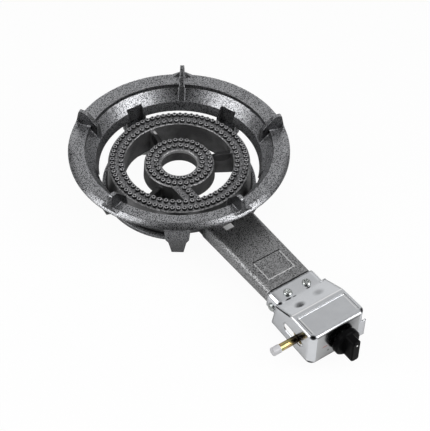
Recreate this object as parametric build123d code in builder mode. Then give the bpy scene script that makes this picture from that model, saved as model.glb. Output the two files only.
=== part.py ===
"""Cast iron gas stove: stand, ring burner, mixing arm and valve under a sheet cover.

Millimetres, +Z up. The origin is on the floor under the burner's centre.
The arm runs along -Y, the knob faces -Y and the gas inlet points along -X.
"""

import os

from build123d import *

# Stand casting: pan ring
ring_radius = 125.0
ring_top = 78.5
rim_round = 1.0
rim_foot_round = 3.0
rim_height = 6.2
flange_bore_radius = 106.3
step_drop = 5.0
lip_top_radius = 94.4
lip_top = 61.4
lip_bottom_radius = 91.3
lip_bottom = 50.1
casting_wall = 5.0

# Stand casting: pan lugs, legs and lower ring
lug_count = 5
lug_start_angle = -18.0
lug_rise = 18.5
lug_tip_inset = 4.5
lug_base_inset = 0.8
lug_top_length = 8.5
lug_shoulder_drop = 1.4
lug_shoulder_round = 6.0
lug_inner_radius = 98.0
lug_inner_rise = 1.7
lug_inner_round = 2.5
lug_top_width = 4.5
lug_base_width = 7.0
lug_tip_round = 2.5
lug_root_sink = 0.6
lug_root_drop = 1.0
lug_fairing_rise = 5.4
lug_fairing_width = 8.0
lug_fairing_run = 6.5
leg_angles = (19.1, 88.9, 162.0, 234.5, 306.0)
leg_width = 29.0
leg_shoulder_width = 26.0
leg_neck_width = 20.0
leg_inside_width = 26.0
leg_web = 1.0
toe_width = 13.4
toe_inner_radius = 81.0
toe_length = 8.0
leg_shoulder = 33.0
leg_neck = 26.0
leg_back_run = 7.4
leg_back_wall = 4.4
leg_root_rise = 2.4
leg_inset = 1.9
leg_inset_rise = 1.2
leg_draft = 0.5
leg_seat = 2.7
leg_seat_draft = 1.5
pocket_width = 20.0
pocket_bottom = 36.0
lower_ring_radius = 88.7
lower_ring_bore_radius = 66.0
lower_ring_bottom = 19.2
lower_ring_thickness = 4.3
lower_ring_gap_width = 88.6

# Burner head casting
head_radius = 81.0
head_draft = 1.6
head_bore_radius = 62.0
head_top = 56.2
head_bead = 1.0
head_wall = 4.5
inner_ring_radius = 40.0
inner_ring_bore_radius = 20.4
inner_ring_top = 53.7
inner_ring_height = 18.4
inner_ring_draft = 1.0
web_places = ((86.0, 0.0), (204.0, 0.0), (329.0, 14.6))
web_width = 6.0
web_drop = 1.7
web_shoulder_radius = 46.0
web_shoulder_drop = 2.0
web_fall = 7.5
web_round = 2.0
web_lap = 1.0
web_reach = 5.0
feed_bar_x = -20.5
feed_bar_width = 16.8
feed_bar_lap = 6.0
pocket_floor_radius = 27.0
pocket_floor_start = 200.0
pocket_floor_end = 246.0

# Flame ports: small six sided nipples
port_width = 5.2
port_height = 3.2
outer_row_radius = 76.3
outer_row_count = 72
second_row_radius = 66.2
second_row_count = 57
second_row_start = 1.9
third_row_radius = 35.3
third_row_count = 33
third_row_start = 8.5
fourth_row_radius = 26.4
fourth_row_count = 24
fourth_row_start = 7.5
feed_port_ys = (-38.0, -45.0, -52.0)
feed_port_x = -18.8

# Mixing arm
arm_top = 46.2
arm_root_half_width = 30.0
arm_shoe_gap = 0.5
arm_tip_half_width = 28.1
arm_tip_height = 20.2
arm_tip_y = -226.0
arm_corner = 6.0
arm_wall = 4.5
window_half_width = 13.0
window_front_y = -110.7
duct_front_y = -122.0
frame_half_width = 17.8
frame_front_y = -194.5
frame_back_y = -165.2
frame_line = 1.3
frame_height = 0.5

# Joint of arm and head: a shoe under the arm, bolted up to the head
pad_face_y = -88.0
gasket_thickness = 1.5
pad_depth = 18.5
pad_setback = 0.5
pad_step = 1.0
duct_reach = 16.5
duct_wall = 3.5
duct_lap = 2.0
gasket_lap = 1.0
shoe_half_width = 22.0
shoe_back_y = -66.0
shoe_front_y = -102.0
shoe_fork_y = -84.0
shoe_lap = 2.0
arm_bolt_x = 9.0
arm_bolt_y = -73.0
arm_bolt_radius = 2.5
arm_bolt_head_width = 8.0
arm_bolt_head_height = 3.5
arm_bolt_grip = 9.0
arm_boss_radius = 5.0
bolt_play = 0.3
thread_play = 0.05
bolt_end_play = 0.5

# Bolts that hold the head on the stand
head_bolt_angles = (90.0, 198.0, 342.0)
head_bolt_circle_radius = 74.0
head_bolt_radius = 4.0
head_bolt_head_width = 13.0
head_bolt_head_height = 5.3
head_bolt_depth = 11.0
head_boss_radius = 6.6
head_boss_lap = 1.0
head_washer_radius = 8.0
head_washer_thickness = 1.2

# Sheet cover
sheet = 1.2
cover_gap = 0.2
cover_front_y = -291.0
cover_bend_y = -254.0
cover_slope_y = -229.0
cover_rear_y = -223.0
cover_top = 56.5
cover_bottom = 15.5
cover_rear_half_width = 33.4
cover_front_half_width = 35.2
cover_corner = 7.5
cover_edge_round = 1.8
cover_side_back_y = -227.0
cover_side_break = 40.0
cover_side_foot = 18.0
saddle_rear_y = -209.3
saddle_half_width = 31.0
saddle_corner = 7.0
tab_front_y = -225.4
tab_bottom = 29.0
notch_top = 41.0
panel_half_width = 30.0
panel_back_y = -260.8
panel_front_y = -283.5
panel_depth = 0.5
slit_width = 1.0
slit_stop = 1.5
lap_reach = 1.4
lap_top = 41.0
lap_bottom = 17.0
slot_y = -259.1
slot_length = 32.0
slot_height = 10.5
cut_margin = 5.0
edge_pick = 0.1

# Cover screws
screw_radius = 2.5
screw_head_radius = 4.75
screw_head_height = 2.8
screw_edge = 1.2
screw_reach = 6.6
top_screw_x = 12.4
top_screw_y = -220.7
side_screw_y = -218.5
side_screw_z = 34.5

# Gas valve, on an axis along Y
valve_x = 6.0
valve_z = 32.2
barrel_radius = 11.0
barrel_rear_y = -261.0
bonnet_rear_y = -281.0
neck_radius = 6.2
neck_reach = 4.0
neck_hole_radius = 6.5
plug_radius = 7.0
plug_rear_y = -264.0
plug_front_y = -280.0
plug_port_radius = 2.0
plug_slot_height = 8.0
running_play = 0.05
end_play = 0.2
seat_play = 0.3
spindle_radius = 3.0
spindle_flange_radius = 5.2
spindle_flange_front_y = -287.0
spindle_flange_thickness = 1.5
bonnet_pocket_radius = 5.6
tongue_width = 2.0
tongue_height = 5.0
tongue_depth = 4.5
tongue_play = 0.1
spring_radius = 5.0
spring_bore_radius = 3.6
spring_length = 2.2
seal_radius = 4.3
seal_length = 1.6
bonnet_screw_offset = 8.6
bonnet_screw_radius = 1.5
bonnet_screw_head_radius = 2.1
bonnet_screw_head_height = 1.6
bonnet_screw_grip = 5.0
outlet_x = 0.0
outlet_radius = 6.5
outlet_bore_radius = 2.5
outlet_rear_y = -246.0
outlet_lap = 1.0
injector_width = 10.0
injector_length = 7.0
nozzle_radius = 3.2
nozzle_length = 6.0
jet_radius = 0.6
injector_thread_radius = 3.5
injector_thread_length = 5.0

# Nut and washer that hold the valve to the cover
washer_thickness = 0.8
valve_washer_radius = 9.4
valve_nut_width = 16.0
valve_nut_height = 2.8

# Gas inlet, on an axis along X
inlet_y = -265.5
inlet_boss_radius = 8.0
inlet_boss_end_x = -18.0
inlet_thread_radius = 6.2
inlet_thread_end_x = -26.0
pipe_radius = 4.2
pipe_bore_radius = 3.0
pipe_socket_x = -20.0
pipe_end_x = -64.0
ferrule_length = 2.6
ferrule_radius = 5.8
inlet_nut_width = 15.0
inlet_nut_back_x = -18.4
inlet_nut_wall = 3.0
cap_end_x = -65.3
cap_wall = 0.45
cap_start_x = -56.5
cap_play = 0.06

# Knob, pushed in and turned
knob_radius = 15.8
knob_push = 3.0
knob_rim_y = -294.2
knob_face_y = -301.2
knob_skirt_wall = 3.0
knob_web = 2.4
knob_bar_width = 10.6
knob_bar_length = 29.4
knob_bar_front_y = -314.0
knob_edge = 1.5
knob_bar_edge = 1.2
drive_square = 4.4
drive_play = 0.05
drive_end_y = -309.5

# Values worked out from the sizes above
lower_ring_top = lower_ring_bottom + lower_ring_thickness
head_bottom = lower_ring_top
head_bottom_radius = head_radius + head_draft
web_top = head_top - web_drop
head_bore_bottom_radius = head_bore_radius + head_draft
inner_ring_bottom = inner_ring_top - inner_ring_height
cone_top = ring_top - step_drop
rim_bottom = ring_top - rim_height
cone_run = flange_bore_radius - lip_top_radius
cone_rise = cone_top - lip_top
cone_length = (cone_run**2 + cone_rise**2) ** 0.5
cone_offset_r = casting_wall * cone_rise / cone_length
cone_offset_z = casting_wall * cone_run / cone_length
cone_back_rise = rim_bottom - cone_top + cone_offset_z
cone_back_top = flange_bore_radius + cone_offset_r + cone_run / cone_rise * cone_back_rise
lip_run = lip_top_radius - lip_bottom_radius
lip_rise = lip_top - lip_bottom
lip_length = (lip_run**2 + lip_rise**2) ** 0.5
lip_offset_r = casting_wall * lip_rise / lip_length
lip_offset_z = casting_wall * lip_run / lip_length
wall_turn = casting_wall**2 + cone_offset_r * lip_offset_r + cone_offset_z * lip_offset_z
wall_mitre = casting_wall**2 / wall_turn
lip_back_top_radius = lip_top_radius + (cone_offset_r + lip_offset_r) * wall_mitre
lip_back_top = lip_top - (cone_offset_z + lip_offset_z) * wall_mitre
lip_back_bottom_radius = lip_bottom_radius + casting_wall
lug_tip_radius = ring_radius - lug_tip_inset
lug_base_radius = ring_radius - lug_base_inset
lug_tip = ring_top + lug_rise
lug_shoulder_radius = lug_tip_radius - lug_top_length
lug_shoulder = lug_tip - lug_shoulder_drop
lug_end_lean = (lug_base_radius - lug_tip_radius) / lug_rise
fairing_top = ring_top + lug_fairing_rise
fairing_start_radius = ring_radius - lug_fairing_run
fairing_tip_radius = lug_base_radius - lug_end_lean * lug_fairing_rise
fairing_half_width = lug_base_width / 2 + lug_fairing_width
toe_outer_radius = toe_inner_radius + toe_length
leg_back_radius = lip_top_radius + leg_back_run
pocket_radius = leg_back_radius - leg_back_wall
leg_root = lip_top + leg_root_rise
leg_flank_y = (leg_inside_width + leg_width) / 2
leg_seat_radius = lower_ring_radius - leg_seat
leg_places = [Location((0, 0, 0), (0, 0, angle)) for angle in leg_angles]
web_turns = [Location((0, 0, 0), (0, 0, angle)) * Location((0, offset, 0)) for angle, offset in web_places]
arm_root_y = pad_face_y - gasket_thickness
arm_root_height = arm_top - lower_ring_top - arm_shoe_gap
arm_root_middle = arm_top - arm_root_height / 2
arm_tip_middle = arm_top - arm_tip_height / 2
pad_inner_x = window_half_width - pad_setback
shoe_top = arm_top - arm_root_height + shoe_lap
shoe_leg_width = shoe_half_width - window_half_width
shoe_leg_x = window_half_width + shoe_leg_width / 2
shoe_leg_y = (arm_root_y + shoe_front_y) / 2
duct_inner_x = window_half_width + duct_wall
duct_outer_x = arm_root_half_width - arm_wall
duct_width = duct_outer_x - duct_inner_x
duct_middle_x = duct_inner_x + duct_width / 2
duct_height = arm_root_height - 2 * arm_wall
chamber_tip_half_width = arm_tip_half_width - arm_wall
chamber_tip_height = arm_tip_height - 2 * arm_wall
arm_length = arm_root_y - arm_tip_y
duct_length = arm_root_y - duct_front_y + duct_lap
saddle_top = arm_top + cover_gap + sheet
slit_end_y = cover_bend_y + slit_stop
slope_rise = (cover_top - saddle_top) / (cover_slope_y - cover_bend_y)
slit_end = saddle_top - sheet + slope_rise * (cover_slope_y - slit_end_y)
cover_back_y = cover_front_y + sheet
neck_end_y = cover_front_y - neck_reach
knob_inside_y = knob_face_y + knob_web
nut_rear_y = cover_front_y - washer_thickness
seal_rear_y = neck_end_y + seal_length
bonnet_pocket_y = spindle_flange_front_y - end_play
bonnet_screw_seat_y = cover_back_y + bonnet_screw_head_height + seat_play
inlet_nut_step_x = inlet_thread_end_x - ferrule_length
inlet_nut_front_x = inlet_nut_step_x - inlet_nut_wall

os.makedirs("parts", exist_ok=True)

# One pan lug, drawn along +X: a humped fin with draft
with BuildPart() as lug:
    with BuildSketch(Plane.XZ) as lug_side:
        with BuildLine() as lug_outline:
            Polyline(
                (lip_top_radius + lug_root_sink, lip_top - lug_root_drop),
                (lug_inner_radius, ring_top + lug_inner_rise),
                (lug_shoulder_radius, lug_shoulder),
                (lug_tip_radius, lug_tip),
                (lug_base_radius, ring_top),
                (lug_base_radius, ring_top - lug_root_drop),
                (flange_bore_radius + casting_wall / 2, rim_bottom + lug_root_drop),
                (lip_top_radius + casting_wall / 2, lip_top),
                close=True,
            )
        make_face()
        fillet(lug_side.vertices().sort_by_distance((lug_tip_radius, lug_tip))[0], lug_tip_round)
        lug_shoulder_corner = (lug_shoulder_radius, lug_shoulder)
        fillet(lug_side.vertices().sort_by_distance(lug_shoulder_corner)[0], lug_shoulder_round)
        lug_inner_corner = (lug_inner_radius, ring_top + lug_inner_rise)
        fillet(lug_side.vertices().sort_by_distance(lug_inner_corner)[0], lug_inner_round)
    extrude(amount=lug_base_width, both=True)
    with BuildSketch(Plane.YZ) as lug_front:
        with BuildLine() as lug_draft:
            Polyline(
                (-lug_base_width / 2, lip_bottom),
                (lug_base_width / 2, lip_bottom),
                (lug_base_width / 2, cone_top),
                (lug_top_width / 2, lug_tip),
                (-lug_top_width / 2, lug_tip),
                (-lug_base_width / 2, cone_top),
                close=True,
            )
        make_face()
    extrude(amount=2 * ring_radius, mode=Mode.INTERSECT)

# Fairing of one lug, drawn along +X: a low wedge that grows towards the rim
with BuildPart() as lug_fairing:
    with BuildSketch(Plane.XZ) as fairing_side:
        with BuildLine() as fairing_outline:
            Polyline(
                (fairing_start_radius, ring_top - lug_root_drop),
                (fairing_start_radius, ring_top),
                (fairing_tip_radius, fairing_top),
                (lug_base_radius, ring_top),
                (lug_base_radius, ring_top - lug_root_drop),
                close=True,
            )
        make_face()
    extrude(amount=fairing_half_width, both=True)
    with BuildSketch(Plane.YZ) as fairing_front:
        with BuildLine() as fairing_slopes:
            Polyline(
                (-fairing_half_width, ring_top - lug_root_drop),
                (fairing_half_width, ring_top - lug_root_drop),
                (fairing_half_width, ring_top),
                (lug_top_width / 2, fairing_top),
                (-lug_top_width / 2, fairing_top),
                (-fairing_half_width, ring_top),
                close=True,
            )
        make_face()
    extrude(amount=2 * ring_radius, mode=Mode.INTERSECT)

# One leg, drawn along +X: a wide channel that narrows to a toe
with BuildPart() as leg:
    with BuildSketch(Plane.XZ) as leg_side:
        with BuildLine() as leg_outline:
            Polyline(
                (toe_inner_radius, 0),
                (toe_outer_radius, 0),
                (leg_back_radius - leg_draft, leg_shoulder),
                (leg_back_radius, leg_root),
                (lip_top_radius + casting_wall / 2, leg_root),
                (lip_top_radius - leg_inset, lip_bottom + leg_inset_rise),
                (leg_seat_radius, lower_ring_top),
                (leg_seat_radius - leg_seat_draft, lower_ring_bottom),
                close=True,
            )
        make_face()
    extrude(amount=leg_width, both=True)
    with BuildSketch(Plane.YZ) as leg_front:
        with BuildLine() as leg_taper:
            Polyline(
                (-toe_width / 2, 0),
                (toe_width / 2, 0),
                (leg_neck_width / 2, leg_neck),
                (leg_shoulder_width / 2, leg_shoulder),
                (leg_width / 2, lip_bottom),
                (leg_width / 2, ring_top),
                (-leg_width / 2, ring_top),
                (-leg_width / 2, lip_bottom),
                (-leg_shoulder_width / 2, leg_shoulder),
                (-leg_neck_width / 2, leg_neck),
                close=True,
            )
        make_face()
    extrude(amount=2 * ring_radius, mode=Mode.INTERSECT)
    with BuildSketch(Plane.XY.offset(lower_ring_top)) as leg_flanks:
        with Locations((pocket_radius - leg_web, leg_flank_y), (pocket_radius - leg_web, -leg_flank_y)):
            Rectangle(pocket_radius, leg_width, align=(Align.MAX, Align.CENTER))
    extrude(amount=lip_bottom - lower_ring_top, mode=Mode.SUBTRACT)

# Stand: pan ring, lower ring, legs and lugs in one casting
with BuildPart() as stand:
    with BuildSketch(Plane.XZ) as ring_section:
        with BuildLine() as ring_outline:
            Polyline(
                (ring_radius - rim_foot_round, rim_bottom),
                (cone_back_top, rim_bottom),
                (lip_back_top_radius, lip_back_top),
                (lip_back_bottom_radius, lip_bottom),
                (lip_bottom_radius, lip_bottom),
                (lip_top_radius, lip_top),
                (flange_bore_radius, cone_top),
                (flange_bore_radius, ring_top),
                (ring_radius - rim_round, ring_top),
            )
            RadiusArc((ring_radius - rim_round, ring_top), (ring_radius, ring_top - rim_round), rim_round)
            Line((ring_radius, ring_top - rim_round), (ring_radius, rim_bottom + rim_foot_round))
            RadiusArc(
                (ring_radius, rim_bottom + rim_foot_round),
                (ring_radius - rim_foot_round, rim_bottom),
                rim_foot_round,
            )
        make_face()
    revolve(axis=Axis.Z)
    with BuildSketch(Plane.XY.offset(lower_ring_bottom)) as lower_ring_outline:
        Circle(lower_ring_radius)
        Circle(lower_ring_bore_radius, mode=Mode.SUBTRACT)
        with Locations((0, -ring_radius)):
            Rectangle(lower_ring_gap_width, ring_radius, mode=Mode.SUBTRACT)
        with PolarLocations(head_bolt_circle_radius, 1, start_angle=head_bolt_angles[0]):
            Circle(head_bolt_radius + bolt_play, mode=Mode.SUBTRACT)
        with PolarLocations(head_bolt_circle_radius, 1, start_angle=head_bolt_angles[1]):
            Circle(head_bolt_radius + bolt_play, mode=Mode.SUBTRACT)
        with PolarLocations(head_bolt_circle_radius, 1, start_angle=head_bolt_angles[2]):
            Circle(head_bolt_radius + bolt_play, mode=Mode.SUBTRACT)
    extrude(amount=lower_ring_thickness)
    with Locations(*leg_places):
        add(leg.part)
    with PolarLocations(0, lug_count, start_angle=lug_start_angle):
        add(lug.part)
        add(lug_fairing.part)
    with Locations(*leg_places):
        with Locations((pocket_radius, 0, pocket_bottom)):
            Box(
                pocket_radius - lower_ring_bore_radius,
                pocket_width,
                ring_top - pocket_bottom,
                align=(Align.MAX, Align.CENTER, Align.MIN),
                mode=Mode.SUBTRACT,
            )

stand.part.label = "stand"
export_step(stand.part, "parts/stand.step")

# Gas space inside the head: two ring channels joined by the feed bar and fed by two ducts
with BuildPart() as gas_space:
    with BuildSketch(Plane.XZ) as channel_sections:
        with BuildLine() as outer_channel:
            Polyline(
                (head_bore_bottom_radius + head_wall, head_bottom + head_wall),
                (head_bottom_radius - head_wall, head_bottom + head_wall),
                (head_radius - head_wall, head_top - head_wall),
                (head_bore_radius + head_wall, head_top - head_wall),
                close=True,
            )
        make_face()
        with BuildLine() as inner_channel:
            Polyline(
                (inner_ring_bore_radius + head_wall, inner_ring_bottom + head_wall),
                (inner_ring_radius - head_wall, inner_ring_bottom + head_wall),
                (inner_ring_radius - head_wall, inner_ring_top - head_wall),
                (inner_ring_bore_radius + head_wall, inner_ring_top - head_wall),
                close=True,
            )
        make_face()
    revolve(axis=Axis.Z)
    with Locations((feed_bar_x, -(head_bore_radius + inner_ring_radius) / 2, inner_ring_bottom + head_wall)):
        Box(
            feed_bar_width - 2 * head_wall,
            head_bore_radius - inner_ring_bore_radius,
            inner_ring_height - 2 * head_wall,
            align=(Align.CENTER, Align.CENTER, Align.MIN),
        )
    with Locations((duct_middle_x, pad_face_y, arm_root_middle)):
        Box(duct_width, 2 * duct_reach, duct_height)
    with Locations((-duct_middle_x, pad_face_y, arm_root_middle)):
        Box(duct_width, 2 * duct_reach, duct_height)

# One web between the rings, drawn along +X: its rounded top falls towards the centre
with BuildPart() as web:
    with BuildSketch(Plane.XZ) as web_side:
        with BuildLine() as web_outline:
            Polyline(
                (inner_ring_radius - web_reach, head_bottom),
                (head_bore_bottom_radius + web_lap, head_bottom),
                (head_bore_bottom_radius + web_lap, web_top),
                (web_shoulder_radius, web_top - web_shoulder_drop),
                (inner_ring_radius - web_reach, web_top - web_fall),
                close=True,
            )
        make_face()
    extrude(amount=web_width / 2, both=True)
    web_sides = web.edges().filter_by(lambda edge: abs(abs(edge.center().Y) - web_width / 2) < edge_pick)
    fillet(web_sides.filter_by(lambda edge: edge.bounding_box().min.Z > head_bottom + edge_pick), web_round)

# Burner head: both rings with their top edge beads, webs, feed bar and arm pads
with BuildPart() as burner_head:
    with BuildSketch(Plane.XZ) as head_sections:
        with BuildLine() as outer_ring_outline:
            Polyline(
                (head_bore_bottom_radius, head_bottom),
                (head_bottom_radius, head_bottom),
                (head_radius, head_top - head_bead),
                (head_radius - head_bead, head_top),
                (head_bore_radius + head_bead, head_top),
                (head_bore_radius, head_top - head_bead),
                close=True,
            )
        make_face()
        with BuildLine() as inner_ring_outline:
            Polyline(
                (inner_ring_bore_radius + 2 * inner_ring_draft, inner_ring_bottom),
                (inner_ring_radius + inner_ring_draft, inner_ring_bottom),
                (inner_ring_radius, inner_ring_top - head_bead),
                (inner_ring_radius - head_bead, inner_ring_top),
                (inner_ring_bore_radius + head_bead, inner_ring_top),
                (inner_ring_bore_radius, inner_ring_top - head_bead),
                close=True,
            )
        make_face()
    revolve(axis=Axis.Z)
    with Locations((feed_bar_x, -head_bore_radius, inner_ring_bottom)):
        Box(
            feed_bar_width,
            head_bore_radius - inner_ring_bore_radius - feed_bar_lap,
            inner_ring_height,
            align=(Align.CENTER, Align.MIN, Align.MIN),
        )
    with Locations(*web_turns):
        add(web.part)
    with BuildSketch(Plane.XZ.offset(-pad_face_y)) as pad_outline:
        with Locations((0, arm_root_middle)):
            RectangleRounded(2 * arm_root_half_width - pad_step, arm_root_height - pad_step, arm_corner)
            Rectangle(2 * pad_inner_x, arm_root_height, mode=Mode.SUBTRACT)
    extrude(amount=-pad_depth)
    with BuildSketch(Plane.XY.offset(head_bottom)) as pocket_floor:
        Circle(head_bore_bottom_radius + web_lap)
        Circle(pocket_floor_radius, mode=Mode.SUBTRACT)
        with BuildLine() as pocket_floor_wedge:
            Polyline(
                (0, 0),
                Vector(ring_radius, 0, 0).rotate(Axis.Z, pocket_floor_start),
                Vector(ring_radius, 0, 0).rotate(Axis.Z, pocket_floor_end),
                close=True,
            )
        make_face(mode=Mode.INTERSECT)
    extrude(amount=head_wall)
    add(gas_space.part, mode=Mode.SUBTRACT)
    with Locations(*[Location((0, 0, 0), (0, 0, angle)) for angle in head_bolt_angles]):
        with Locations((head_bolt_circle_radius, 0, head_bottom + head_wall - head_boss_lap)):
            Cylinder(head_boss_radius, head_bolt_depth, align=(Align.CENTER, Align.CENTER, Align.MIN))
    with Locations(*[Location((0, 0, 0), (0, 0, angle)) for angle in head_bolt_angles]):
        with Locations((head_bolt_circle_radius, 0, head_bottom)):
            Cylinder(
                head_bolt_radius + thread_play,
                head_bolt_depth + bolt_end_play,
                align=(Align.CENTER, Align.CENTER, Align.MIN),
                mode=Mode.SUBTRACT,
            )
    with BuildSketch(Plane.XY.offset(head_bottom + head_wall - head_boss_lap)) as arm_bolt_bosses:
        with Locations((arm_bolt_x, arm_bolt_y), (-arm_bolt_x, arm_bolt_y)):
            Circle(arm_boss_radius)
    extrude(amount=arm_bolt_grip)
    with BuildSketch(Plane.XY.offset(head_bottom)) as arm_bolt_threads:
        with Locations((arm_bolt_x, arm_bolt_y), (-arm_bolt_x, arm_bolt_y)):
            Circle(arm_bolt_radius + thread_play)
    extrude(amount=arm_bolt_grip + bolt_end_play, mode=Mode.SUBTRACT)

burner_head.part.label = "burner_head"
export_step(burner_head.part, "parts/burner_head.step")

# Flame ports of the outer ring
with BuildPart() as outer_ports:
    with BuildSketch(Plane.XY.offset(head_top)) as outer_port_outlines:
        with PolarLocations(outer_row_radius, outer_row_count):
            RegularPolygon(port_width / 2, 6)
        with PolarLocations(second_row_radius, second_row_count, start_angle=second_row_start):
            RegularPolygon(port_width / 2, 6)
    extrude(amount=port_height)

outer_ports.part.label = "outer_ports"
export_step(outer_ports.part, "parts/outer_ports.step")

# Flame ports of the inner ring and the feed bar
with BuildPart() as inner_ports:
    with BuildSketch(Plane.XY.offset(inner_ring_top)) as inner_port_outlines:
        with PolarLocations(third_row_radius, third_row_count, start_angle=third_row_start):
            RegularPolygon(port_width / 2, 6)
        with PolarLocations(fourth_row_radius, fourth_row_count, start_angle=fourth_row_start):
            RegularPolygon(port_width / 2, 6)
        with Locations(*[(feed_port_x, y) for y in feed_port_ys]):
            RegularPolygon(port_width / 2, 6)
    extrude(amount=port_height)

inner_ports.part.label = "inner_ports"
export_step(inner_ports.part, "parts/inner_ports.step")

# Bolts from below that hold the head on the stand
with BuildPart() as head_bolts:
    with Locations(*[Location((0, 0, 0), (0, 0, angle)) for angle in head_bolt_angles]):
        with Locations((head_bolt_circle_radius, 0, lower_ring_bottom - head_washer_thickness)):
            Cylinder(
                head_bolt_radius,
                head_washer_thickness + lower_ring_thickness + head_bolt_depth,
                align=(Align.CENTER, Align.CENTER, Align.MIN),
            )
    with BuildSketch(Plane.XY.offset(lower_ring_bottom - head_washer_thickness)) as head_bolt_hexes:
        with Locations(*[Location((0, 0, 0), (0, 0, angle)) for angle in head_bolt_angles]):
            with Locations((head_bolt_circle_radius, 0)):
                RegularPolygon(head_bolt_head_width / 2, 6, major_radius=False)
    extrude(amount=-head_bolt_head_height)

head_bolts.part.label = "head_bolts"
export_step(head_bolts.part, "parts/head_bolts.step")

# Washers under those bolt heads
with BuildPart() as head_washers:
    with BuildSketch(Plane.XY.offset(lower_ring_bottom)) as head_washer_outlines:
        with Locations(*[Location((0, 0, 0), (0, 0, angle)) for angle in head_bolt_angles]):
            with Locations((head_bolt_circle_radius, 0)):
                Circle(head_washer_radius)
                Circle(head_bolt_radius + bolt_play, mode=Mode.SUBTRACT)
    extrude(amount=-head_washer_thickness)

head_washers.part.label = "head_washers"
export_step(head_washers.part, "parts/head_washers.step")

# Gas space inside the arm: one mixing chamber that splits round the window
with BuildPart() as arm_space:
    with BuildSketch(Plane.XY.offset(arm_top)) as chamber_plan:
        with BuildLine() as chamber_plan_outline:
            Polyline(
                (-duct_outer_x, duct_front_y),
                (duct_outer_x, duct_front_y),
                (chamber_tip_half_width, arm_tip_y),
                (-chamber_tip_half_width, arm_tip_y),
                close=True,
            )
        make_face()
    extrude(amount=-arm_root_height)
    with BuildSketch(Plane.YZ) as chamber_side:
        with BuildLine() as chamber_side_outline:
            Polyline(
                (duct_front_y, arm_root_middle + duct_height / 2),
                (duct_front_y, arm_root_middle - duct_height / 2),
                (arm_tip_y, arm_tip_middle - chamber_tip_height / 2),
                (arm_tip_y, arm_tip_middle + chamber_tip_height / 2),
                close=True,
            )
        make_face()
    extrude(amount=arm_root_half_width, both=True, mode=Mode.INTERSECT)
    with Locations((duct_middle_x, duct_front_y - duct_lap, arm_root_middle)):
        Box(duct_width, duct_length, duct_height, align=(Align.CENTER, Align.MIN, Align.CENTER))
    with Locations((-duct_middle_x, duct_front_y - duct_lap, arm_root_middle)):
        Box(duct_width, duct_length, duct_height, align=(Align.CENTER, Align.MIN, Align.CENTER))

# Mixing arm: flat box with a through window, a raised square and a forked shoe below
with BuildPart() as mixing_arm:
    with BuildSketch(Plane.XY.offset(arm_top)) as arm_plan:
        with BuildLine() as arm_plan_outline:
            Polyline(
                (-arm_root_half_width, arm_root_y),
                (arm_root_half_width, arm_root_y),
                (arm_tip_half_width, arm_tip_y),
                (-arm_tip_half_width, arm_tip_y),
                close=True,
            )
        make_face()
    extrude(amount=-arm_root_height)
    with BuildSketch(Plane.YZ) as arm_side:
        with BuildLine() as arm_side_outline:
            Polyline(
                (arm_root_y, arm_top),
                (arm_root_y, arm_top - arm_root_height),
                (arm_tip_y, arm_top - arm_tip_height),
                (arm_tip_y, arm_top),
                close=True,
            )
        make_face()
    extrude(amount=arm_root_half_width, both=True, mode=Mode.INTERSECT)
    fillet(mixing_arm.edges().filter_by(lambda edge: edge.length > arm_length - edge_pick), arm_corner)
    with BuildSketch(Plane.XY.offset(lower_ring_bottom)) as shoe_outline:
        with Locations((0, (shoe_back_y + shoe_front_y) / 2)):
            Rectangle(2 * shoe_half_width, shoe_back_y - shoe_front_y)
        with Locations((0, (shoe_fork_y + shoe_front_y) / 2)):
            Rectangle(2 * window_half_width, shoe_fork_y - shoe_front_y, mode=Mode.SUBTRACT)
        with Locations((arm_bolt_x, arm_bolt_y), (-arm_bolt_x, arm_bolt_y)):
            Circle(arm_bolt_radius + bolt_play, mode=Mode.SUBTRACT)
    extrude(amount=lower_ring_thickness)
    with BuildSketch(Plane.XY.offset(lower_ring_bottom)) as shoe_legs:
        with Locations((shoe_leg_x, shoe_leg_y), (-shoe_leg_x, shoe_leg_y)):
            Rectangle(shoe_leg_width, arm_root_y - shoe_front_y)
    extrude(amount=shoe_top - lower_ring_bottom)
    with BuildSketch(Plane.XY.offset(arm_top)) as frame_outline:
        with Locations((0, (frame_front_y + frame_back_y) / 2)):
            Rectangle(2 * frame_half_width, frame_back_y - frame_front_y)
            Rectangle(
                2 * (frame_half_width - frame_line),
                frame_back_y - frame_front_y - 2 * frame_line,
                mode=Mode.SUBTRACT,
            )
    extrude(amount=frame_height)
    add(arm_space.part, mode=Mode.SUBTRACT)
    with Locations((0, window_front_y, arm_root_middle)):
        Box(
            2 * window_half_width,
            arm_root_y - window_front_y + cut_margin,
            2 * arm_root_height,
            align=(Align.CENTER, Align.MIN, Align.CENTER),
            mode=Mode.SUBTRACT,
        )
    with BuildSketch(Plane.XY.offset(arm_top)) as top_screw_threads:
        with Locations((top_screw_x, top_screw_y), (-top_screw_x, top_screw_y)):
            Circle(screw_radius + thread_play)
    extrude(amount=-screw_reach, mode=Mode.SUBTRACT)
    with BuildSketch(Plane.YZ.offset(-arm_root_half_width)) as side_screw_threads:
        with Locations((side_screw_y, side_screw_z)):
            Circle(screw_radius + thread_play)
    extrude(amount=2 * arm_root_half_width, mode=Mode.SUBTRACT)

mixing_arm.part.label = "mixing_arm"
export_step(mixing_arm.part, "parts/mixing_arm.step")

# Gasket between arm and head, one piece for each duct
with BuildPart() as arm_gasket:
    with BuildSketch(Plane.XZ.offset(-pad_face_y)) as gasket_outline:
        with Locations((0, arm_root_middle)):
            RectangleRounded(
                2 * (arm_root_half_width - gasket_lap),
                arm_root_height - 2 * gasket_lap,
                arm_corner - gasket_lap,
            )
            Rectangle(2 * (window_half_width + gasket_lap), arm_root_height, mode=Mode.SUBTRACT)
        with Locations((duct_middle_x, arm_root_middle), (-duct_middle_x, arm_root_middle)):
            Rectangle(duct_width, duct_height, mode=Mode.SUBTRACT)
    extrude(amount=gasket_thickness)

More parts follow.
